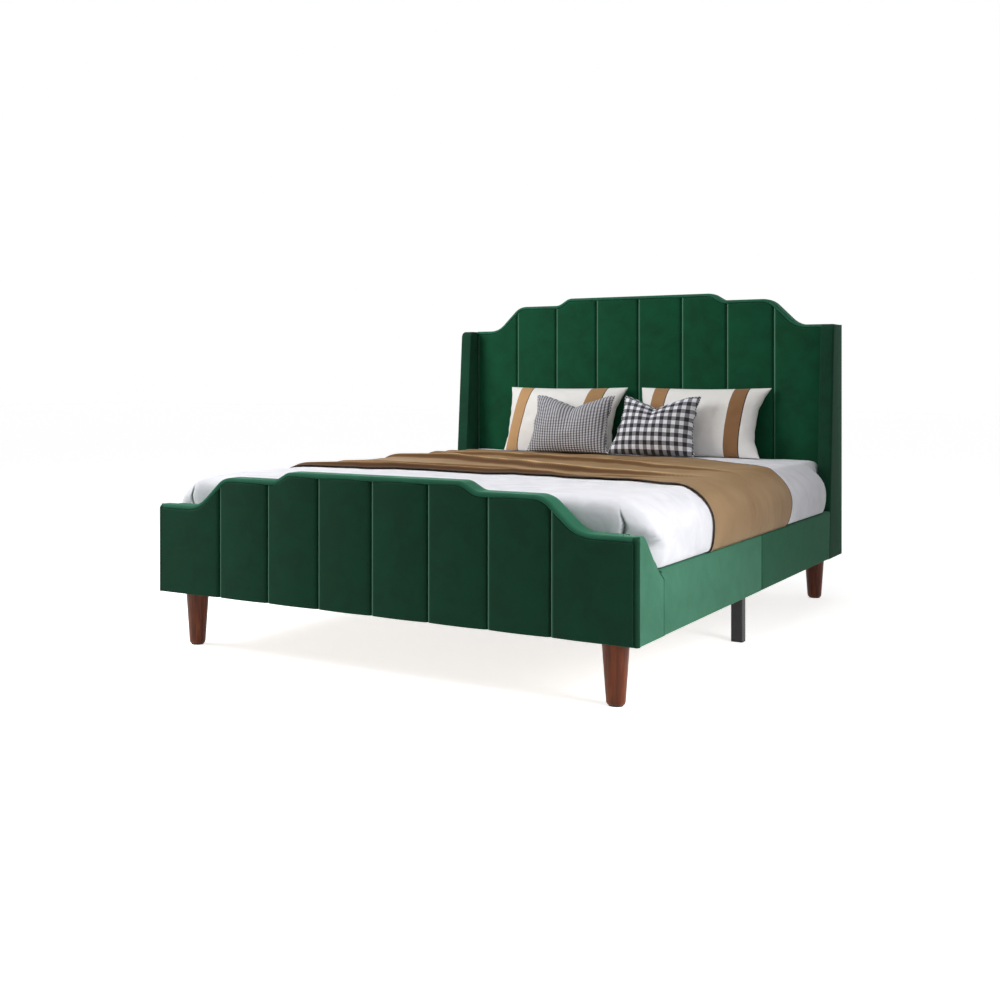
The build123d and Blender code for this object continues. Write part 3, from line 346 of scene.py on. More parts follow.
def stepped_edge(half_span, heights, steps, inset, run_points=8):
    """The stepped top edge from left to right: level, up a big slope, level, up a small slope, level,
    and down again, moved in by inset. A slope of height h and angle a is h / tan(a) wide, and moving in by
    inset shifts its foot by inset tan(a / 2). Its point count stays the same."""
    low, mid, high = heights
    big_x, big_angle, small_x, small_angle = steps
    big_low = big_x - inset * np.tan(np.radians(big_angle / 2))
    small_low = small_x - inset * np.tan(np.radians(small_angle / 2))
    big_high = big_low - (mid - low) / np.tan(np.radians(big_angle))
    small_high = small_low - (high - mid) / np.tan(np.radians(small_angle))
    right = [(small_high, high), (small_low, mid), (big_high, mid), (big_low, low), (half_span, low)]
    whole = [(-x, z - inset) for x, z in reversed(right)] + [(x, z - inset) for x, z in right]
    radii = [small_radius - inset, small_radius + inset, crown_radius - inset, hollow_radius + inset]
    return rounded_corners(whole, radii[::-1] + radii, run_points)


def round_off(distance, radius):
    """A quarter circle: 0 at the edge and 1 from radius on."""
    return np.sqrt(1 - (1 - np.clip(distance / radius, 0, 1)) ** 2)


def velvet_piece(name, points, faces, cloth, node, fill, sharp=45):
    """A padded piece of the frame's upholstery, which stands for one of its nodes."""
    piece = new_piece(name, points, faces, cloth, "bed_frame", "velvet", [node], sharp=sharp)
    return piece


def mark_points(piece, attribute, values):
    """Writes one number for each point of a piece, which its finish reads."""
    piece.data.attributes.new(attribute, "FLOAT", "POINT").data.foreach_set("value", values.ravel())


def quilted_pad(name, x_span, bottom, edge, face_y, cloth, node, open_side):
    """A pad between two seams, from bottom up to edge, on a board whose front is at face_y. Its thickness
    rises from each seam in a quarter round, then in a low parabola, with small puckers by the seam, and dips
    where it rolls under the border and round the bottom edge. It has no dip at its open side, -1 for left
    and 1 for right."""
    sewn, rise, crown, most = 0.012, 0.012, 0.0065, 0.0315
    seam_roll, end_roll = 0.011, 0.006
    even = np.linspace(0, 1, 41)
    half = (x_span[1] - x_span[0]) / 2
    x = x_span[0] + 2 * half * (0.6 * (0.5 - 0.5 * np.cos(np.pi * even)) + 0.4 * even)
    top = np.interp(x, edge[:, 0], edge[:, 1])
    near_end = np.array([0, 0.002, 0.006, 0.012, 0.02])
    up = np.concatenate([near_end, np.linspace(0.04, 0.96, 70), [0.98, 0.988, 0.994, 0.998, 1]])
    z = bottom + (top - bottom) * up[:, None]
    x = np.broadcast_to(x, z.shape)
    from_left, from_right = x - x_span[0], x_span[1] - x
    from_seam = np.minimum(from_left + (open_side < 0), from_right + (open_side > 0))
    across = np.where((from_left - half) * open_side > 0, 0, (from_left - half) / half)
    thickness = sewn + rise * round_off(from_seam, seam_roll) + crown * (1 - across**2)
    thickness *= 0.92 + 0.08 * round_off(top - z, end_roll)
    thickness *= 0.86 + 0.14 * round_off(z - bottom, end_roll)
    pucker = np.exp(-from_seam / 0.014) * waviness(x * 0.4, z, 0.03, 5)
    thickness += 0.0007 * pucker + 0.0008 * waviness(x, z, 0.16, 8) * np.clip(from_seam / 0.03, 0, 1)
    thickness = np.minimum(thickness, most)
    front = np.stack([x, face_y - thickness, z], axis=-1)
    back = np.stack([x, np.full_like(x, face_y), z], axis=-1)[:, ::-1]
    rows, columns = x.shape
    faces = grid_faces(rows, 2 * columns, wrap=True)
    start = np.arange(columns - 1)
    cap = np.stack([start, start + 1, 2 * columns - 2 - start, 2 * columns - 1 - start], axis=1)
    faces = np.concatenate([faces, cap, cap + (rows - 1) * 2 * columns])
    points = np.concatenate([front, back], axis=1).reshape(-1, 3)
    pad = velvet_piece(name, points, faces, cloth, node, 0.85, sharp=70)
    # Painted highlight: a pale line along each pad's left shoulder, just right of its seam
    seam_highlight = 0.45 * np.exp(-(((from_left - 0.0045) / 0.0036) ** 2)) * (open_side >= 0)
    mark_points(pad, "painted_seam_highlight", np.concatenate([seam_highlight, np.zeros_like(x)], axis=1))


# Cotton velvet: a short dense pile, matt and deep green face on, paler at grazing angles and where crushed.
# The bed has one velvet; the copies for the headboard, borders, sides, rear rails and wings are lighter or
# deeper tones of it, painted light and shade.
front_velvet = velvet("green velvet on the end boards", "#0e3523", "#13402d", 0.8)
# The headboard's copy is lighter and greener: painted light
head_lit_velvet = velvet("green velvet on the headboard, painted light", "#093f26", "#0f5034", 0.6)
boards = {
    "footboard": (foot_heights, foot_steps, front_velvet, {1: -1, 8: 1}),
    "headboard": (head_heights, head_steps, head_lit_velvet, {}),
}
for board, (heights, steps, cloth, open_sides) in boards.items():
    (left, face_y, _), (right, _, _) = box_of(board + "_panel")
    bottom = box_of(board + "_channel_1")[0][2]
    edge = stepped_edge(right, heights, steps, border_depth)
    for number, x_span in enumerate(zip([left, *seams], [*seams, right]), start=1):
        name, node = f"{board}_pad_{number}", f"{board}_channel_{number}"
        quilted_pad(name, x_span, bottom, edge, face_y, cloth, node, open_sides.get(number, 0))


# Borders: a strip of velvet over thin foam, wrapped over each board's top edge and stapled behind.
# On the footboard two more run down the corners, where they are top stitched to the sides.

inner_x, outer_x = [corner[0] for corner in box_of("footboard_return_right")]
foot_front, head_front = [box_of(board + "_border")[0][1] for board in boards]
corner_radius = 0.016
lip_radius = 0.009


def capped_faces(rows, columns):
    """The quads of a grid of closed rings, with one face over its first ring and one over its last."""
    ends = [list(range(columns)), list(range((rows - 1) * columns, rows * columns))]
    return grid_faces(rows, columns, wrap=True).tolist() + ends


def strip_along(profile, front_y, line, *outline):
    """A closed strip. Each profile point is (depth, behind): it follows the edge that line gives for outline
    and depth, which is the edge moved in by that depth, and lies that far behind front_y."""
    rows = []
    for depth, behind in profile:
        edge = line(*outline, depth)
        rows.append(np.stack([edge[:, 0], np.full(len(edge), front_y + behind), edge[:, 1]], axis=-1))
    grid = np.stack(rows, axis=1)
    return grid.reshape(-1, 3), capped_faces(*grid.shape[:2])


def joined(*parts):
    """Points and faces of several shapes as one."""
    points, faces, start = [], [], 0
    for part_points, part_faces in parts:
        points.append(part_points)
        faces += [[start + i for i in face] for face in part_faces]
        start += len(part_points)
    return np.concatenate(points), faces


def right_upright(depth):
    """The footboard's right corner, a quarter circle of the corner radius, and the side from there down to
    the underside, all moved in by depth."""
    turn = np.radians(np.linspace(90, 0, 9))
    centre_x, centre_z = outer_x - corner_radius, foot_heights[0] - corner_radius
    corner_x = centre_x + (corner_radius - depth) * np.cos(turn)
    corner_z = centre_z + (corner_radius - depth) * np.sin(turn)
    side_z = np.linspace(centre_z - 0.015, underside, 12)
    return np.column_stack([
        np.concatenate([corner_x, np.full(len(side_z), outer_x - depth)]),
        np.concatenate([corner_z, side_z]),
    ])


def left_upright(depth):
    """The footboard's left corner and side, which mirror the right."""
    return right_upright(depth) * (-1, 1)


# Where an edge turns from a board's front to its top it follows a quarter circle
turn = np.radians(np.linspace(0, 90, 6))
lip = (lip_radius * (1 - np.stack([np.sin(turn), np.cos(turn)], axis=-1))).tolist()
front_profile = [(0.0145, 0.005), (0.0132, 0.0022), (0.0105, 0.0002), *lip, (0.0, 0.014), (0.014, 0.014)]
back_profile = [
    (0.0004, 0.0125), (-0.0006, 0.033), (-0.0006, 0.053), (0.0, 0.066), (0.002, 0.0708),
    (0.006, 0.073), (0.013, 0.073), (0.013, 0.0125),
]
head_profile = [
    (0.014, 0.0095), (0.0128, 0.0035), (0.0105, 0.0005), *lip,
    (-0.0006, 0.028), (-0.0006, 0.053), (0.0, 0.065), (0.002, 0.0695), (0.006, 0.071), (0.014, 0.071),
]
# The borders' copy is paler: painted light on the rolled edges that face up
border_lit_velvet = velvet("green velvet on the borders, painted light", "#245c45", "#2e6b52", 0.7)
whole_edge = (outer_x - corner_radius, foot_heights, foot_steps)
border = joined(
    strip_along(front_profile, foot_front, stepped_edge, *whole_edge),
    strip_along(back_profile, foot_front, stepped_edge, inner_x, foot_heights, foot_steps),
)
velvet_piece("footboard_border_strip", *border, border_lit_velvet, "footboard_border", 0.8)
corner_strips = joined(
    strip_along(front_profile, foot_front, right_upright),
    strip_along(front_profile, foot_front, left_upright),
)
velvet_piece("footboard_corner_strips", *corner_strips, front_velvet, "footboard_border", 0.8)
border = strip_along(head_profile, head_front, stepped_edge, inner_x, head_heights, head_steps)
velvet_piece("headboard_border_strip", *border, border_lit_velvet, "headboard_border", 0.8)


def repeated(shape, faces, places):
    """A small shape's points and faces, set at each of places."""
    faces = faces + len(shape) * np.arange(len(places))[:, None, None]
    return (places[:, None] + shape).reshape(-1, 3), faces.reshape(-1, faces.shape[-1])


# Spun thread: pale green, in short twisted stitches that catch the light
thread, tree, place = new_finish("pale green spun thread")
twist = add_node(tree, "TexNoise", {"Vector": place, "Scale": 1500, "Detail": 2})
tone = add_node(tree, "ValToRGB", {"Fac": twist}, stops=[(0.3, "#5f8f79"), (0.7, "#86b39d")])
shader = add_node(tree, "BsdfPrincipled", {"Base Color": tone, "Roughness": 0.6})
add_node(tree, "OutputMaterial", {"Surface": shader})
stitch_shape = np.array([(-1, 0, 0), (0, -1, 0), (1, 0, 0), (0, 1, 0), (0, 0, -1), (0, 0, 1)])
stitch_size = (0.0009, 0.0009, 0.0026)
stitch_faces = np.array([
    (0, 1, 5), (1, 2, 5), (2, 3, 5), (3, 0, 5), (1, 0, 4), (2, 1, 4), (3, 2, 4), (0, 3, 4),
])
stitch_heights = np.arange(underside + 0.006, foot_heights[0] - 0.021, 0.0065)
stitch_x, stitch_y = outer_x - 0.0002, foot_front + 0.0138
stitch_places = np.array([(x, stitch_y, height) for x in (-stitch_x, stitch_x) for height in stitch_heights])
stitches = repeated(stitch_shape * stitch_size, stitch_faces, stitch_places)
new_piece("corner_stitches", *stitches, thread, "bed_frame", "velvet")


# Returns: padded velvet that turns each corner of the footboard and slopes down to the rail.
# Foam over the corner block, with the velvet pulled tight and stapled inside, so every edge is rolled.

def walked(outline, spacing=0.012):
    """A closed outline of (a, b, roll) rows with points added evenly along each side. A corner keeps the
    smaller roll of its two sides."""
    corners = np.asarray(outline, float)
    runs = np.roll(corners, -1, axis=0) - corners
    counts = np.maximum(1, (np.linalg.norm(runs[:, :2], axis=1) / spacing).astype(int))
    side = np.repeat(np.arange(len(corners)), counts)
    step = np.arange(len(side)) - np.repeat(np.cumsum(counts) - counts, counts)
    points = corners[side] + runs[side] * (step / counts[side])[:, None]
    corner_roll = np.minimum(corners[:, 2], np.roll(corners[:, 2], 1))
    points[:, 2] = np.where(step == 0, corner_roll[side], corners[side, 2])
    return points


def outward_normals(run):
    """Unit vectors a quarter turn clockwise from each run."""
    return np.stack([run[:, 1], -run[:, 0]], axis=-1) / np.linalg.norm(run, axis=1)[:, None]


def rolled_block(outline, low, high, low_roll=0.3):
    """A block along x with the side view outline, between low and high. Its high side rolls over by each
    point's roll and its low side by low_roll of that, along a quarter circle."""
    points = walked(outline)
    plan, roll = points[:, :2], points[:, 2:]
    following, before = np.roll(plan, -1, axis=0), np.roll(plan, 1, axis=0)
    outwards = outward_normals(following - plan) + outward_normals(plan - before)
    outwards /= np.maximum((outwards * outwards).sum(axis=1) / 2, 0.5)[:, None]
    outwards *= np.sign((plan[:, 0] * following[:, 1] - following[:, 0] * plan[:, 1]).sum())
    turn = np.radians(np.linspace(0, 90, 6))
    rings = []
    for face, share, inwards, turns in ((low, low_roll, 1, turn), (high, 1, -1, turn[::-1])):
        for t in turns:
            around = plan - outwards * roll * share * (1 - np.sin(t))
            rings.append(np.concatenate([face + inwards * roll * share * (1 - np.cos(t)), around], axis=1))
    return np.concatenate(rings), capped_faces(len(rings), len(points))


def velvet_pair(name, outline, cloth, node, low_roll=0.3):
    """A padded block as thick as the bed's sides, on the right and, mirrored, on the left."""
    points, faces = rolled_block(outline, inner_x, outer_x, low_roll)
    for side, mirror in (("right", 1), ("left", -1)):
        velvet_piece(f"{name}_{side}", points * (mirror, 1, 1), faces, cloth, f"{node}_{side}", 0.85)


# The sides' copy is paler: painted light where the low soft box falls on them
side_lit_velvet = velvet("green velvet on the sides, painted light", "#3d6f58", "#477d65", 0.5)
# The rear rail covers get a deeper copy, painted shade towards the head
rear_shaded_velvet = velvet("green velvet on the rear rails, painted shade", "#2a5a43", "#32664d", 0.3)
# The return meets the rail along an upright line that leans forwards above bend_z, with a narrow gap
half_gap, bend_z = 0.0015, 0.33
joint_y = box_of("rail_board_front_right")[0][1]
(_, joint_top_y, _), (_, seam_y, rail_top) = box_of("rail_cover_front_right")
return_front, return_top = foot_front + 0.014, foot_heights[0]
slope = [(joint_top_y - half_gap, rail_top), (-1.038, return_top), (return_front, return_top)]
return_outline = [
    (return_front, underside, 0.004), (joint_y - half_gap, underside, 0.004),
    (joint_y - half_gap, bend_z, 0.004), (joint_top_y - half_gap, rail_top, 0.003),
    *[(y, z, 0.009) for y, z in rounded_corners(slope, [0.03], 3)[1:-1]], (return_front, return_top, 0.002),
]
velvet_pair("footboard_corner", return_outline, side_lit_velvet, "footboard_return")


# Side rails: each half is a board in thin foam and velvet, wrapped round its ends too.
# The halves meet in a tight upright seam over the middle leg.

half_seam = 0.0018
wing_foot_y, wing_rail_y = box_of("wing_cover_right")[0][1], 0.906
front_outline = [
    (joint_y + half_gap, underside, 0.007), (seam_y - half_seam, underside, 0.008),
    (seam_y - half_seam, rail_top, 0.008), (joint_top_y + half_gap, rail_top, 0.001),
    (joint_y + half_gap, bend_z, 0.003),
]
rear_outline = [
    (seam_y + half_seam, underside, 0.008), (wing_foot_y, underside, 0.004), (wing_rail_y, rail_top, 0.008),
    (seam_y + half_seam, rail_top, 0.008),
]
velvet_pair("rail_velvet_front", front_outline, side_lit_velvet, "rail_cover_front", 0.6)
velvet_pair("rail_velvet_rear", rear_outline, rear_shaded_velvet, "rail_cover_rear", 0.6)


# Wings: padded boards at both sides of the headboard, with a slanted front edge.
# A thin cord in its own velvet tube is sewn into the inner front seam.

# The wings' copy is deeper: painted shade
wing_shaded_velvet = velvet("green velvet on the wings, painted shade", "#0c3423", "#14422f", 0.25)
wing_back_y, wing_top = box_of("wing_cover_right")[1][1:]
wing_top_y, wing_radius, cord_radius = 0.962, 0.028, 0.0035
front_edge = [(wing_rail_y, rail_top), (wing_top_y, wing_top), (wing_back_y, wing_top)]
wing_outline = [
    (wing_foot_y, underside, 0.009),
    *[(y, z, 0.009) for y, z in rounded_corners(front_edge, [wing_radius], 30)[:-1]],
    (wing_back_y, wing_top, 0.003), (wing_back_y, underside, 0.003),
]
velvet_pair("wing_shaded_velvet", wing_outline, wing_shaded_velvet, "wing_cover", 0.5)


def tube_along(path, radius, facing, closed=False, sides=12):
    """A round tube along a path: each ring is a circle square to it, spanned by facing x path and by the
    direction square to both. A closed path's last ring joins its first."""
    path = np.asarray(path, float)
    along = np.roll(path, -1, axis=0) - np.roll(path, 1, axis=0) if closed else np.gradient(path, axis=0)
    along /= np.linalg.norm(along, axis=1)[:, None]
    sideways = np.cross(np.asarray(facing, float), along)
    sideways /= np.linalg.norm(sideways, axis=1)[:, None]
    upwards = np.cross(along, sideways)
    turn = np.linspace(0, 2 * np.pi, sides, endpoint=False)[:, None]
    ring = path[:, None] + radius * (np.cos(turn) * sideways[:, None] + np.sin(turn) * upwards[:, None])
    if closed:
        ring = np.concatenate([ring, ring[:1]])
        return ring.reshape(-1, 3), grid_faces(len(ring), sides, wrap=True).tolist()
    return ring.reshape(-1, 3), capped_faces(len(ring), sides)


piping_corners = [
    (wing_rail_y + cord_radius, rail_top + 0.001), (wing_top_y + cord_radius, wing_top - cord_radius),
    (1.065, wing_top - cord_radius),
]
piping_line = rounded_corners(piping_corners, [wing_radius - cord_radius], 40)
piping_path = np.insert(piping_line, 0, inner_x + cord_radius, axis=1)
points, faces = tube_along(piping_path, cord_radius, (1, 0, 0))
piping = joined((points, faces), (points * (-1, 1, 1), faces))
new_piece("wing_piping_cord", *piping, wing_shaded_velvet, "bed_frame", "velvet", ["wing_piping"], sharp=60)


# Footboard back cover: a thin padded panel of velvet that faces the mattress.
# Stapled under the border at the top and under the board's bottom edge.

(_, cover_front, cover_bottom), (_, cover_back, _) = box_of("footboard_back_cover")
cover_roll = 0.003
cover_edge = stepped_edge(inner_x, foot_heights, foot_steps, border_depth).tolist()
cover_edge += [(inner_x, cover_bottom), (-inner_x, cover_bottom)]
points, faces = rolled_block([(x, z, cover_roll) for x, z in cover_edge], cover_front, cover_back)
velvet_piece("footboard_back_velvet", points[:, [1, 0, 2]], faces, front_velvet, "footboard_back_cover", 0.7)


# Dust cover: black spun cloth pulled over the back of the headboard.
# It is cut to the board's outline, folded in at its edges and stapled every 50 mm.

# Spun bonded cloth: flat black with fine random threads and long soft pulls
dust_cloth, tree, place = new_finish("black spun dust cloth")
# Threads are drawn 1 mm apart, coarser than real ones so that they show
threads = add_node(tree, "TexNoise", {"Vector": place, "Scale": 900, "Detail": 2})
pulls = add_node(tree, "TexNoise", {"Vector": place, "Scale": 7, "Detail": 5})
tone = add_node(tree, "ValToRGB", {"Fac": threads}, stops=[(0.3, "#161618"), (0.7, "#2c2c2f")])
pulled = add_node(tree, "Bump", {"Height": pulls, "Distance": 0.003})
raised = add_node(tree, "Bump", {"Height": threads, "Distance": 0.0003, "Normal": pulled})
shader = add_node(tree, "BsdfPrincipled", {"Base Color": tone, "Roughness": 0.95, "Normal": raised})
add_node(tree, "OutputMaterial", {"Surface": shader})
dust_y, dust_half = box_of("headboard_dust_cover")[0][1], box_of("headboard_dust_cover")[1][0]
back_edge = stepped_edge(dust_half, head_heights, head_steps, 0.008)
x = np.unique(np.round(np.concatenate([np.linspace(-dust_half, dust_half, 121), back_edge[:, 0]]), 5))
height = np.interp(x, back_edge[:, 0], back_edge[:, 1]) - underside
z = underside + height * np.linspace(0, 1, 61)[:, None]
x = np.broadcast_to(x, z.shape)
# It is pulled tight at its edges and stands up to 2 mm off the frame 50 mm inside them
loose = np.minimum(np.minimum(dust_half - np.abs(x), z - underside), 0.05) / 0.05
y = dust_y + 0.0008 + (0.0009 + 0.0004 * waviness(x, z, 0.2, 3)) * loose
dust_cover = new_piece(
    "headboard_dust_cloth", np.stack([x, y, z], axis=-1).reshape(-1, 3), grid_faces(*z.shape)[:, ::-1],
    dust_cloth, "bed_frame", "dust_cloth", ["headboard_dust_cover"], closed=False,
)
staple_x, staple_low, staple_high = dust_half - 0.014, underside + 0.044, head_heights[0] - 0.035
top_line = np.linspace(-0.78, 0.78, 33)
staple_line = np.concatenate([
    np.linspace((-0.79, underside + 0.014), (0.79, underside + 0.014), 33),
    np.linspace((staple_x, staple_low), (staple_x, staple_high), 18),
    np.linspace((-staple_x, staple_low), (-staple_x, staple_high), 18),
    np.column_stack([top_line, np.interp(top_line, back_edge[:, 0], back_edge[:, 1]) - 0.012]),
])
staple_places = np.insert(staple_line, 1, dust_y + 0.0014, axis=1)
staple_shape = (2 * np.indices((2, 2, 2)).reshape(3, 8).T - 1) * (0.005, 0.0006, 0.0006)
staple_faces = np.array([[0, 1, 3, 2], [4, 6, 7, 5], [0, 4, 5, 1], [2, 3, 7, 6], [0, 2, 6, 4], [1, 5, 7, 3]])
staples = repeated(staple_shape, staple_faces, staple_places)
staples = new_piece("dust_cloth_staples", *staples, zinc, "bed_frame", "zinc_steel")


# Mattress: foam and springs in a knitted cover that is quilted on top.
# It lies loose on the slats between the rails, and its edges are rolled.

def rounded_ring(half_x, half_y, radius, sides=40, corner=9):
    """A closed ring: a rectangle with corners on quarter circles. Its point count follows from sides, the
    points on a straight side, and corner, those on a corner."""
    turn = np.radians(np.linspace(0, 90, corner))
    arcs = []
    for quarter_turn, (towards_x, towards_y) in enumerate([(1, 1), (-1, 1), (-1, -1), (1, -1)]):
        angle = turn + quarter_turn * np.pi / 2
        x = towards_x * (half_x - radius) + radius * np.cos(angle)
        y = towards_y * (half_y - radius) + radius * np.sin(angle)
        arcs.append(np.stack([x, y], axis=-1))
    share = np.linspace(0, 1, sides + 2)[1:-1, None]
    whole = []
    for arc, following in zip(arcs, arcs[1:] + arcs[:1]):
        whole += [arc, arc[-1] + (following[0] - arc[-1]) * share]
    return np.concatenate(whole)


# Quilted knit: off white and matt, with soft cells 110 mm across and a fine rib
mattress_knit, tree, place = new_finish("knitted mattress cover")
quilting = add_node(tree, "TexVoronoi", {"Vector": place, "Scale": 9})
knit = add_node(tree, "TexNoise", {"Vector": place, "Scale": 500, "Detail": 2})
tone = add_node(tree, "ValToRGB", {"Fac": knit}, stops=[(0.3, "#dcdad6"), (0.7, "#f1efec")])
quilted = add_node(tree, "Bump", {"Height": quilting, "Distance": 0.004})
raised = add_node(tree, "Bump", {"Height": knit, "Distance": 0.0004, "Normal": quilted})
shader = add_node(
    tree, "BsdfPrincipled",
    {"Base Color": tone, "Roughness": 0.85, "Sheen Weight": 0.2, "Sheen Roughness": 0.5, "Normal": raised},
)
add_node(tree, "OutputMaterial", {"Surface": shader})
mattress_foot = box_of("mattress")[0][2]
mattress_x, mattress_y, mattress_top = box_of("mattress")[1]
# Each level is an inset and a height: a tight roll below, a side a little proud, and a softer roll above
levels = [
    (0.02, mattress_foot), (0.006, 0.309), (0.0, 0.318), (-0.001, 0.4), (0.0, 0.5),
    (0.006, 0.5185), (0.016, 0.5298), (0.028, 0.5345), (0.06, mattress_top),
]
rings = []
for inset, z in levels:
    ring = rounded_ring(mattress_x - inset, mattress_y - inset, 0.07 - min(inset, 0.06))
    rings.append(np.insert(ring, 2, z, axis=1))
faces = capped_faces(len(rings), len(ring))
mattress = new_piece(
    "mattress_cover", np.concatenate(rings), faces, mattress_knit, "mattress", "mattress_cloth", ["mattress"]
)


# Duvet: white brushed cotton over a soft filling, tucked in all round and plump over the side rails.
# It is a stack of rings: they follow its side up from the rails, then shrink towards the top's middle.

tucked_x = 0.766
duvet_y, duvet_top = box_of("duvet")[1][1:]
pleat_depth = 0.0068


def duvet_relief(x, y):
    """Height of the duvet's soft hills and creases over its flat top: two waves, and thin crests where a
    third wave crosses 0."""
    hills = 0.0035 * waviness(x, y, 0.55, 21) + 0.0022 * waviness(x, y, 0.22, 22)
    creases = 0.0016 * (1 - np.abs(waviness(x, y, 0.2, 23)) * 3).clip(0, 1)
    return hills + creases - 0.0035


def side_share(y, z):
    """Share of the full side bulge, which ends before the wings, and before the footboard's returns where
    they stand as high."""
    behind_returns = y + 0.965 + 0.09 * np.clip((z - 0.42) / 0.08, 0, 1)
    return np.clip(behind_returns / 0.03, 0, 1) * np.clip((0.84 - y) / 0.05, 0, 1)


def side_bulge(turn):
    """A place on the duvet's side, from the rail's edge at turn -1 over the widest place at 0 to the flat top
    at 1: a quarter ellipse of 126 x 117 mm above, and one of 17.5 x 71.5 mm below."""
    upper, lower = np.radians(90) * np.clip(turn, 0, 1), np.radians(90) * np.clip(-turn, 0, 1)
    x = 0.706 + 0.126 * np.cos(upper) - 0.0175 * (1 - np.cos(lower))
    return np.stack([x, 0.435 + 0.1173 * np.sin(upper) - 0.0715 * np.sin(lower)], axis=-1)


# Tucked down inside the rail, over its top, and then the bulge
side_section = np.concatenate([
    [(tucked_x, 0.32), (tucked_x, 0.352), (0.768, 0.3605), (0.785, 0.3612), (0.806, 0.3618)],
    side_bulge(np.linspace(-1, 1, 32)),
])
end_heights = [0.48, 0.494, 0.515, 0.533, 0.5455, 0.5515, duvet_top]
end_section = -np.interp(side_section[:, 1], end_heights, [0, 0.0004, 0.0018, 0.0065, 0.0165, 0.031, 0.058])
rings, pleats = [], []
for (side_x, z), end_grow in zip(side_section, end_section):
    end_x, ring_radius = tucked_x + end_grow, max(0.06 + end_grow, 0.008)
    ring = rounded_ring(end_x, duvet_y + end_grow, ring_radius, sides=90, corner=60)
    near_side = np.clip(np.abs(ring[:, 0]) / tucked_x, 0, 1) ** 30
    # One pleat at each foot corner, where the cloth is folded under
    pleat_x = np.interp(z, [0.461, 0.487, 0.508], [0.74, 0.7335, 0.73])
    pleat_width = np.interp(z, [0.42, 0.515], [0.004, 0.0018])
    pleat = np.exp(-(((np.abs(ring[:, 0]) - pleat_x) / pleat_width) ** 2)) * (ring[:, 1] < -0.9)
    pleat = pleat * np.interp(z, [0.36, 0.4, 0.5, 0.525], [1, 1, 0.9, 0])
    ring[:, 0] += np.sign(ring[:, 0]) * (side_x - end_x) * side_share(ring[:, 1], z) * near_side
    ring[:, 0] += 0.001 * np.sign(ring[:, 0]) * pleat
    ring[:, 1] += pleat_depth * pleat
    rings.append(np.insert(ring, 2, z, axis=1))
    pleats.append(pleat)
for inset in np.concatenate([[0.09, 0.11, 0.135], np.linspace(0.16, 0.72, 36), [0.745, tucked_x]]):
    ring_radius = 0.003 if inset < tucked_x else 0.0
    ring = rounded_ring(tucked_x - inset, duvet_y - inset, ring_radius, sides=90, corner=60)
    rings.append(np.insert(ring, 2, duvet_top, axis=1))
rings = np.stack(rings)
top_share = np.clip((rings[..., 2] - 0.42) / 0.13, 0, 1)
rings[..., 2] += top_share * duvet_relief(rings[..., 0], rings[..., 1])
on_side = (1 - top_share) * np.clip((rings[..., 2] - 0.37) / 0.05, 0, 1)
rings[..., 0] += on_side * 0.003 * waviness(rings[..., 1], rings[..., 2], 0.2, 31)
# Brushed cotton: cool white and matt, with soft rumples 70 mm across and a very fine weave
cotton, tree, place = new_finish("white brushed cotton")
# The weave is drawn 1.3 mm apart, coarser than a real one so that it shows
weave = add_node(tree, "TexNoise", {"Vector": place, "Scale": 800, "Detail": 2})
rumple = add_node(
    tree, "TexNoise", {"Vector": place, "Scale": 14, "Detail": 5, "Roughness": 0.45, "Distortion": 0.6}
)
cloud = add_node(tree, "ValToRGB", {"Fac": rumple}, stops=[(0.3, "#e2e2e9"), (0.7, "#f0f0f5")])
# Deep in a pleat the cloth is painted dark grey: a painted shadow
tucked = add_node(tree, "Attribute", attribute_name="tucked")
colours = {"Factor": tucked.outputs["Fac"], "A": cloud, "B": linear("#4e5056")}
tone = add_node(tree, "Mix", colours, data_type="RGBA")
rumpled = add_node(tree, "Bump", {"Height": rumple, "Distance": 0.003})
raised = add_node(tree, "Bump", {"Height": weave, "Distance": 0.0002, "Normal": rumpled})
shader = add_node(
    tree, "BsdfPrincipled",
    {"Base Color": tone, "Roughness": 0.8, "Sheen Weight": 0.12, "Sheen Roughness": 0.5, "Normal": raised},
)
add_node(tree, "OutputMaterial", {"Surface": shader})
duvet_faces = grid_faces(*rings.shape[:2], wrap=True)
duvet = new_piece(
    "duvet_cloth", rings.reshape(-1, 3), duvet_faces, cotton, "mattress", "cotton", ["duvet"], sharp=180
)
# Only the top's last rings, which meet in a line, lose points to the merge
pleat_shadow_share = np.zeros(len(duvet.data.vertices))
pleat_shadow_share[: len(pleats) * len(ring)] = np.concatenate(pleats)
mark_points(duvet, "tucked", pleat_shadow_share)


# Throw: a thin satin cloth laid askew across the bed and hanging down both sides to the rails.
# Both long edges are bound with dark cord, and its folds run from side to side.

def bed_section(lift):
    """The duvet's section across the bed, moved out by lift: its line, and the length along the line from
    its middle."""
    right = np.concatenate([[(0.3, duvet_top)], side_bulge(np.linspace(1, -0.95, 40))])
    line = np.concatenate([right[::-1] * (-1, 1), right])
    ahead = np.gradient(line, axis=0)
    ahead /= np.linalg.norm(ahead, axis=1)[:, None]
    line = line + lift * np.stack([-ahead[:, 1], ahead[:, 0]], axis=-1)
    length = np.concatenate([[0], np.cumsum(np.linalg.norm(np.diff(line, axis=0), axis=1))])
    return line, length - length[-1] / 2


def crest_shape(from_crest, rise, fall):
    """A fold's height across its crest: bell curves as wide as rise towards the foot and fall behind."""
    return np.exp(-((from_crest / np.where(from_crest < 0, rise, fall)) ** 2))


line, length = bed_section(0.0035)
across = np.linspace(length[0], length[-1], 150)
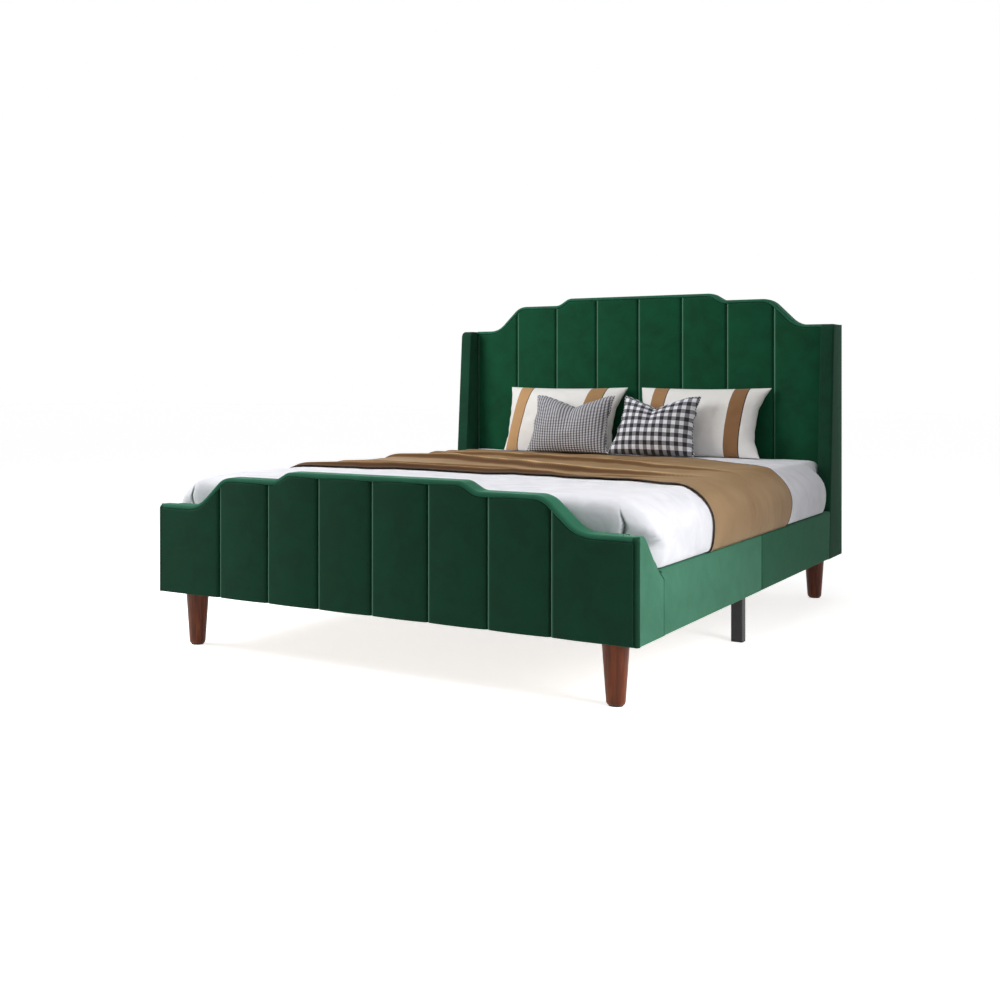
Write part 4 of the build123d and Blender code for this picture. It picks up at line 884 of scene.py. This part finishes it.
# Both long edges, as places in half widths and half lengths of the mattress
front_corners = [
    (-1.4, -0.46), (-0.9, -0.43), (-0.3, -0.385), (0.5, -0.42), (0.74, -0.42), (0.95, -0.5), (1.18, -0.524),
    (1.4, -0.524),
]
rear_corners = [
    (-1.4, 0.87), (0.05, 0.785), (0.5, 0.71), (0.86, 0.465), (1.03, 0.315), (1.18, 0.3), (1.4, 0.25),
]
front_line = rounded_corners(front_corners, [0.3, 0.5, 0.6, 0.3, 0.15, 0.2], 30)
rear_line = rounded_corners(rear_corners, [0.4, 0.3, 0.2, 0.1, 0.1], 30)
front_y, rear_y = [np.interp(across / mattress_x, *edge.T) * mattress_y for edge in (front_line, rear_line)]
y = front_y + (rear_y - front_y) * np.linspace(0, 1, 260)[:, None]
x = np.broadcast_to(np.interp(across, length, line[:, 0]), y.shape)
z = np.broadcast_to(np.interp(across, length, line[:, 1]), y.shape)
# Each fold has places that its crest goes through, a row of (across, height) and how far it falls away.
# It stands up steeply towards the foot, and a cubic through its places gives its line.
fold_rows = [
    ([(-0.75, 0.22), (-0.5, 0.19), (-0.21, 0.11), (0.17, -0.13), (0.5, -0.17), (0.7, -0.13)],
     [(-0.9, 0.003), (-0.7, 0.013), (-0.45, 0.022), (0.17, 0.021), (0.5, 0.013), (0.72, 0)], 0.10),
    ([(-0.75, 0.55), (-0.23, 0.45), (0.17, 0.31), (0.45, 0.18), (0.74, 0.02)],
     [(-0.9, 0.002), (-0.6, 0.012), (-0.2, 0.017), (0.3, 0.015), (0.6, 0.009), (0.76, 0)], 0.08),
    ([(-0.1, 0.40), (0.1, 0.37), (0.35, 0.28), (0.62, 0.17)],
     [(-0.2, 0), (0.1, 0.008), (0.45, 0.010), (0.66, 0)], 0.05),
    ([(-0.7, 0.68), (-0.3, 0.6), (0.1, 0.52), (0.4, 0.48)],
     [(-0.9, 0.002), (-0.6, 0.010), (0.1, 0.009), (0.45, 0)], 0.05),
    ([(0.2, -0.3), (0.4, -0.3), (0.55, -0.29), (0.68, -0.27)], [(0.15, 0), (0.45, 0.008), (0.7, 0)], 0.035),
    ([(-0.75, -0.16), (-0.5, -0.15), (-0.2, -0.16), (0.1, -0.22)],
     [(-0.8, 0.002), (-0.45, 0.011), (0.0, 0.009), (0.15, 0)], 0.05),
]
hem_height = np.interp(across, [-0.9, -0.7, -0.45, 0.2, 0.42, 0.58], [0.002, 0.014, 0.021, 0.016, 0.006, 0])
folds = hem_height * crest_shape(y - (front_y + 0.022), 0.010, 0.06)
for places, heights, fall in fold_rows:
    crest_x, crest_y = np.array(places).T
    crest = np.polyval(np.polyfit(crest_x, crest_y, 3), np.clip(across, crest_x[0], crest_x[-1]))
    wander = 0.006 * np.sin(across * 17 + crest_y[0] * 40)
    tall = np.interp(across, *np.array(heights).T)
    folds = np.maximum(folds, tall * crest_shape(y - crest - wander, 0.013, fall))
edge_fade = np.clip((rear_y - y) / 0.05, 0, 1)
folds = folds * edge_fade
lean = np.gradient(folds, axis=0) / np.gradient(y, axis=0)
# Painted shade and light: darker on a fold's front, which faces the foot, and paler on its crest
fold_shade = np.clip(0.3 + 0.6 * np.clip(lean, 0, None) - 0.3 * folds / 0.018, 0, 1)
on_top = np.clip((z - 0.47) / 0.08, 0, 1)
# Where it hangs it has faint upright waves, which fade towards both long edges
hanging = waviness(np.broadcast_to(across, y.shape) * 0.35, y, 0.055, 41)
hanging = hanging * np.clip((y + 0.25) / 0.1, 0, 1) * np.clip((0.32 - y) / 0.1, 0, 1)
x = x + np.sign(x) * 0.0012 * hanging * (1 - on_top)
hem_lift = 0.004 * np.exp(-(((y - front_y) / 0.016) ** 2)) + 0.002 * np.exp(-(((rear_y - y) / 0.012) ** 2))
z = z + on_top * (duvet_relief(x, y) + folds + hem_lift)
x = x + np.sign(x) * (1 - on_top) * 0.4 * hem_lift
points = np.stack([x, y, z], axis=-1)
# Satin: smooth tan with a soft sheen, its fine floats running across the bed
satin, tree, place = new_finish("tan satin")
# Floats are drawn 1 mm wide and 7 mm long, coarser than real ones so that they show
drawn = add_node(tree, "Mapping", {"Vector": place, "Scale": (0.15, 1, 1)})
floats = add_node(tree, "TexNoise", {"Vector": drawn, "Scale": 900, "Detail": 2})
drift = add_node(tree, "TexNoise", {"Vector": place, "Scale": 6, "Detail": 4})
drift_tone = add_node(tree, "ValToRGB", {"Fac": drift}, stops=[(0.3, "#e2dcd4"), (0.7, "#ffffff")])
# Each fold's front, which faces the foot, is painted deep brown and its crest pale: painted shade and painted
# light
painted_fold_shade = add_node(tree, "Attribute", attribute_name="fold_shade")
painted_fold_tone = add_node(
    tree, "ValToRGB", {"Fac": painted_fold_shade.outputs["Fac"]},
    stops=[(0.0, "#e3bd8a"), (0.2, "#b39169"), (0.3, "#a2845f"), (0.55, "#70502c"), (0.9, "#4a2d12")],
)
colours = {"Factor": 1.0, "A": painted_fold_tone, "B": drift_tone}
tone = add_node(tree, "Mix", colours, data_type="RGBA", blend_type="MULTIPLY")
raised = add_node(tree, "Bump", {"Height": floats, "Distance": 0.0002})
shader = add_node(
    tree, "BsdfPrincipled",
    {"Base Color": tone, "Roughness": 0.55, "Specular IOR Level": 0.15, "Normal": raised},
)
add_node(tree, "OutputMaterial", {"Surface": shader})
throw = new_piece(
    "throw_cloth", points.reshape(-1, 3), grid_faces(*y.shape), satin, "mattress", "satin", ["throw"],
    closed=False, sharp=180,
)
mark_points(throw, "fold_shade", fold_shade)
solid = throw.modifiers.new("cloth thickness", "SOLIDIFY")
solid.thickness, solid.offset = 0.002, -1
# Dark braid: nearly black and matt, with a tight twist
braid, tree, place = new_finish("dark brown braid")
twist = add_node(
    tree, "TexWave", {"Vector": place, "Scale": 120, "Distortion": 1}, bands_direction="DIAGONAL"
)
tone = add_node(tree, "ValToRGB", {"Fac": twist}, stops=[(0.2, "#120d09"), (0.9, "#2b2018")])
shader = add_node(tree, "BsdfPrincipled", {"Base Color": tone, "Roughness": 0.75})
add_node(tree, "OutputMaterial", {"Surface": shader})
front_cord = tube_along(points[0] + (0, -0.0008, 0), 0.0017, (0, 1, 0), sides=8)
rear_cord = tube_along(points[-1] + (0, 0.0006, 0), 0.001, (0, 1, 0), sides=8)
binding = new_piece("throw_binding", *joined(front_cord, rear_cord), braid, "mattress", "satin", sharp=60)


# Pillows: soft fillings in sewn white cases with two woven bands, leaning on the headboard.
# Their sides pull in between pointed corners, the right side most.

def soft_case(name, low_x, size, foot, tilt, left, right, dent, finish, slot, node, seed, band_shift=0.0):
    """A closed case over a grid of u across and v up, from -1 to 1. It swells as the product of two rounded
    rises, (1 - |u|^2.3)(1 - |v|^2.3). left and right give each side's inset at the foot, middle and top,
    joined by a parabola, and dent gives the top edge's depth, place and half width. Its UV map holds metres
    across and up, moved by band_shift at the foot, so that woven bands follow the cloth. It gives the line
    of the case's edge."""
    width, height, thickness = size
    v, u = [np.sin(np.linspace(-np.pi / 2, np.pi / 2, count)) for count in (57, 81)]
    v, u = np.meshgrid(v, u, indexing="ij")
    rise = 0.5 + 0.5 * v
    parts = np.stack([(1 - rise) * (1 - 2 * rise), 4 * rise * (1 - rise), rise * (2 * rise - 1)], axis=-1)
    start, end = parts @ left, width - parts @ right
    ripple = 0.007 * waviness(rise * 0.3, np.sign(u) * 0.2, 0.07, seed) * np.abs(u) ** 8 * (1 - v**2)
    across = start + (end - start) * (0.5 + 0.5 * u) + ripple
    depth, place, half_width = dent
    notch = depth * np.clip(1 - np.abs(u - place) / half_width, 0, 1) ** 1.25
    sag = 0.008 * (1 - u**2) ** 1.2
    up = height * rise - (notch + sag) * np.clip(v, 0, 1) ** 1.6
    swell = ((1 - np.abs(u) ** 2.3) * (1 - np.abs(v) ** 2.3)) ** 0.5
    valley = 1 - 0.42 * np.clip(1 - np.abs(u - place) / 0.3, 0, 1) * np.clip(v + 0.35, 0, 1) * (depth > 0)
    creases = 0.0028 * waviness(across, up, 0.11, seed + 1) + 0.0022 * waviness(across, up, 0.055, seed + 2)
    half = (thickness / 2 * valley + creases) * swell
    tilt = np.radians(tilt)
    layers = []
    for out in (half, -half):
        y = foot[0] + up * np.sin(tilt) - out * np.cos(tilt)
        z = np.maximum(foot[1] + up * np.cos(tilt) + out * np.sin(tilt), foot[1] + 0.0005)
        layers.append(np.stack([low_x + across, y, z], axis=-1))
    rows, columns = u.shape
    front = np.arange(rows * columns).reshape(rows, columns)
    back = front.copy()
    back[1:-1, 1:-1] = rows * columns + np.arange((rows - 2) * (columns - 2)).reshape(rows - 2, columns - 2)
    points = np.concatenate([layers[0].reshape(-1, 3), layers[1][1:-1, 1:-1].reshape(-1, 3)])
    quads = grid_faces(rows, columns)
    faces = np.concatenate([quads, back.ravel()[quads][:, ::-1]])
    piece = new_piece(name, points, faces, finish, node, slot, [node], closed=False, sharp=180)
    woven_x = 0.8 * across + 0.2 * width * (0.5 + 0.5 * u) + band_shift * (1 - rise)
    woven = np.stack([woven_x, height * rise], axis=-1)
    woven = np.concatenate([woven.reshape(-1, 2), woven[1:-1, 1:-1].reshape(-1, 2)])
    point_of_loop = np.empty(len(piece.data.loops), int)
    piece.data.loops.foreach_get("vertex_index", point_of_loop)
    piece.data.uv_layers.new(name="cloth").data.foreach_set("uv", woven[point_of_loop].ravel())
    edge = np.concatenate([layers[0][0, :-1], layers[0][:-1, -1], layers[0][-1, :0:-1], layers[0][:0:-1, 0]])
    return edge


def rumpled_surface(tree, place, tone, rumple_scale, weave_scale, weave_depth, roughness, sheen):
    """The surface of a case's cloth in its tone: soft rumples 3 mm deep, with a fine weave over them, which
    is drawn about 1.5 mm apart, coarser than a real one so that it shows."""
    weave = add_node(tree, "TexNoise", {"Vector": place, "Scale": weave_scale, "Detail": 2})
    rumple = add_node(tree, "TexNoise", {"Vector": place, "Scale": rumple_scale, "Detail": 4})
    rumpled = add_node(tree, "Bump", {"Height": rumple, "Distance": 0.003})
    raised = add_node(tree, "Bump", {"Height": weave, "Distance": weave_depth, "Normal": rumpled})
    shader = add_node(
        tree, "BsdfPrincipled",
        {
            "Base Color": tone, "Roughness": roughness, "Normal": raised,
            "Sheen Weight": sheen, "Sheen Roughness": 0.5,
        },
    )
    add_node(tree, "OutputMaterial", {"Surface": shader})


def banded(name, bands):
    """Cotton with upright woven bands: each (start, end, colour) is laid over the last, in metres across."""
    cloth, tree, place = new_finish(name)
    across = add_node(tree, "SeparateXYZ", {"Vector": add_node(tree, "UVMap", uv_map="cloth")})
    tone = linear("#efedea")
    for start, end, colour in bands:
        away = add_node(tree, "Math", {0: across.outputs["X"], 1: (start + end) / 2}, operation="SUBTRACT")
        away = add_node(tree, "Math", {0: away}, operation="ABSOLUTE")
        inside = add_node(tree, "Math", {0: away, 1: (end - start) / 2}, operation="LESS_THAN")
        tone = add_node(tree, "Mix", {"Factor": inside, "A": tone, "B": linear(colour)}, data_type="RGBA")
    rumpled_surface(
        tree, place, tone, rumple_scale=22, weave_scale=700, weave_depth=0.0003, roughness=0.8, sheen=0.15
    )
    return cloth


# Cotton sateen: warm white with caramel and brown bands, each with a thin dark edge line
edge_line = "#2a1c12"
left_bands = [
    (0.061, 0.118, "#bd9363"), (0.118, 0.122, edge_line),
    (0.395, 0.464, "#a27c50"), (0.464, 0.468, edge_line),
]
left_case = banded("white cotton with caramel bands", left_bands)
right_bands = [
    (0.069, 0.131, "#9d744a"), (0.131, 0.135, edge_line),
    (0.408, 0.465, "#87603a"), (0.465, 0.469, edge_line),
]
right_case = banded("white cotton with brown bands", right_bands)
pillow_size = (0.549, 0.293, 0.124)
pillow_foot = (0.905, box_of("pillow_left")[0][2])
pillow_tilt = 18
no_dent = (0.0, 0.0, 1.0)
soft_case(
    "pillow_case_left", -0.5795, pillow_size, pillow_foot, pillow_tilt, left=(0.006, 0.018, 0.0),
    right=(0.03, 0.05, 0.0), dent=no_dent, finish=left_case, slot="pillow_cloth", node="pillow_left",
    seed=61, band_shift=0.045,
)
soft_case(
    "pillow_case_right", 0.0245, pillow_size, pillow_foot, pillow_tilt, left=(0.004, 0.022, 0.006),
    right=(0.022, 0.052, 0.0), dent=no_dent, finish=right_case, slot="pillow_cloth", node="pillow_right",
    seed=62, band_shift=0.018,
)


# Cushions: small fillings in checked cotton cases with corded seams, each chopped down at the top.
# They lean on the pillows; the left one has a fine check and the right one a gingham.

def checked(name, light, grey, dark, pitch_x, pitch_y):
    """A woven check: half of each pitch across and up is dark thread, so that crossings are dark, light or
    grey."""
    cloth, tree, place = new_finish(name)
    woven = add_node(tree, "SeparateXYZ", {"Vector": add_node(tree, "UVMap", uv_map="cloth")})
    bars = []
    for axis, pitch in (("X", pitch_x), ("Y", pitch_y)):
        threads = add_node(tree, "Math", {0: woven.outputs[axis], 1: 1 / pitch}, operation="MULTIPLY")
        share = add_node(tree, "Math", {0: threads}, operation="FRACT")
        bars.append(add_node(tree, "Math", {0: share, 1: 0.5}, operation="LESS_THAN"))
    total = add_node(tree, "Math", {0: bars[0], 1: bars[1]}, operation="ADD")
    half = add_node(tree, "Math", {0: total, 1: 0.5}, operation="MULTIPLY")
    tone = add_node(tree, "ValToRGB", {"Fac": half}, stops=[(0.0, light), (0.25, grey), (0.75, dark)])
    tone.color_ramp.interpolation = "CONSTANT"
    rumpled_surface(
        tree, place, tone, rumple_scale=24, weave_scale=600, weave_depth=0.0004, roughness=0.85, sheen=0.1
    )
    return cloth


# Yarn dyed cotton: crisp checks, whose crossings of dark and light thread read as grey
left_check = checked("grey and white fine check", "#dcdce0", "#85858d", "#3a3a42", 0.0125, 0.0068)
right_check = checked("black and white gingham", "#eceff6", "#84848c", "#101014", 0.0325, 0.034)
cushion_size = (0.37, 0.246, 0.114)
cushion_foot = (0.786, box_of("cushion_left")[0][2])
cushion_tilt = 16.4
left_edge = soft_case(
    "cushion_case_left", -0.402, cushion_size, cushion_foot, cushion_tilt, left=(0.0, 0.021, 0.018),
    right=(0.008, 0.024, 0.004), dent=(0.045, 0.04, 0.85), finish=left_check, slot="stripe_cloth",
    node="cushion_left", seed=63,
)
right_edge = soft_case(
    "cushion_case_right", -0.038, cushion_size, cushion_foot, cushion_tilt, left=(0.0, 0.042, 0.052),
    right=(0.004, 0.022, 0.002), dent=(0.047, -0.12, 0.85), finish=right_check, slot="check_cloth",
    node="cushion_right", seed=64,
)
# Twisted cord: black and white strands that read as a dotted edge
cord_yarn, tree, place = new_finish("black and white twisted cord")
twist = add_node(
    tree, "TexWave", {"Vector": place, "Scale": 42, "Distortion": 0.5}, bands_direction="DIAGONAL"
)
tone = add_node(tree, "ValToRGB", {"Fac": twist}, stops=[(0.4, "#26262b"), (0.6, "#c9c9cd")])
shader = add_node(tree, "BsdfPrincipled", {"Base Color": tone, "Roughness": 0.8})
add_node(tree, "OutputMaterial", {"Surface": shader})
tilt = np.radians(cushion_tilt)
cord_radius, cord_lift = 0.003, 0.0035
for side, edge, slot in (("left", left_edge, "stripe_cloth"), ("right", right_edge, "check_cloth")):
    path = np.column_stack([edge[:, :2], np.maximum(edge[:, 2], cushion_foot[1] + cord_lift)])
    cord = tube_along(path, cord_radius, (0, -np.cos(tilt), np.sin(tilt)), closed=True, sides=8)
    new_piece(f"cushion_cord_{side}", *cord, cord_yarn, f"cushion_{side}", slot, sharp=60)


# Studio: a pale floor, three soft boxes and the camera.
# A low box lights the right side near the foot, one lights the left, and one hangs overhead.

floor_mesh = bpy.data.meshes.new("studio_floor")
floor_mesh.from_pydata([(-30, -30, 0), (30, -30, 0), (30, 30, 0), (-30, 30, 0)], [], [(0, 1, 2, 3)])
studio_floor = bpy.data.objects.new("studio_floor", floor_mesh)
bpy.context.scene.collection.objects.link(studio_floor)


def seen(tree, ray):
    """1 for rays of the camera and of gloss, 0 for the light that a surface gives to others."""
    rays = {0: ray.outputs["Is Camera Ray"], 1: ray.outputs["Is Glossy Ray"]}
    return add_node(tree, "Math", rays, operation="MAXIMUM")


# Studio paper: matt white that glows for the camera and in gloss, but keeps the bed's shadow
paper, tree, place = new_finish("white studio paper")
glow = add_node(tree, "Math", {0: seen(tree, add_node(tree, "LightPath")), 1: 0.74}, operation="MULTIPLY")
shader = add_node(
    tree, "BsdfPrincipled",
    {
        "Base Color": linear("#f4f4f4"), "Roughness": 0.9,
        "Emission Color": (1, 1, 1, 1), "Emission Strength": glow,
    },
)
add_node(tree, "OutputMaterial", {"Surface": shader})
floor_mesh.materials.append(paper)

world = bpy.data.worlds.new("studio")
bpy.context.scene.world = world
world.use_nodes = True
tree = world.node_tree
tree.nodes.clear()
ray = add_node(tree, "LightPath")
rays = {0: seen(tree, ray), 1: ray.outputs["Is Transmission Ray"]}
direct = add_node(tree, "Math", rays, operation="MAXIMUM")
strength = add_node(tree, "Mix", {"Factor": direct, "A": 0.2, "B": 1.0}, data_type="FLOAT")
backdrop = add_node(tree, "Background", {"Color": (1, 1, 1, 1), "Strength": strength})
add_node(tree, "OutputWorld", {"Surface": backdrop})


def soft_box(name, place, aim, size, power, spread=180):
    """A square soft box at place that shines towards aim, its light kept within spread degrees."""
    lamp = bpy.data.lights.new(name, "AREA")
    lamp.shape, lamp.size, lamp.energy, lamp.spread = "SQUARE", size, power, math.radians(spread)
    holder = bpy.data.objects.new(name, lamp)
    bpy.context.scene.collection.objects.link(holder)
    holder.location = place
    holder.rotation_euler = (Vector(aim) - Vector(place)).to_track_quat("-Z", "Y").to_euler()


soft_box("soft_box_right", (2.5, -1.1, 1.25), aim=(0.8, -0.95, 0.35), size=1.0, power=8.5, spread=85)
soft_box("soft_box_left", (-2.6, -1.6, 2.2), aim=(-0.1, 0.9, 0.7), size=1.6, power=85)
soft_box("soft_box_above", (0.2, -0.3, 4.3), aim=(0, 0, 0.5), size=3.2, power=44)

camera_data = bpy.data.cameras.new("camera")
camera_data.sensor_width, camera_data.lens = 36, 46.892
camera_data.shift_x, camera_data.shift_y = 0.15754, -0.12195
camera = bpy.data.objects.new("camera", camera_data)
bpy.context.scene.collection.objects.link(camera)
camera.location = (2.0554, -4.295, 0.8718)
camera.rotation_euler = (math.radians(90), 0, math.radians(33.893))
bpy.context.scene.camera = camera
bpy.context.scene.view_settings.view_transform = "Standard"
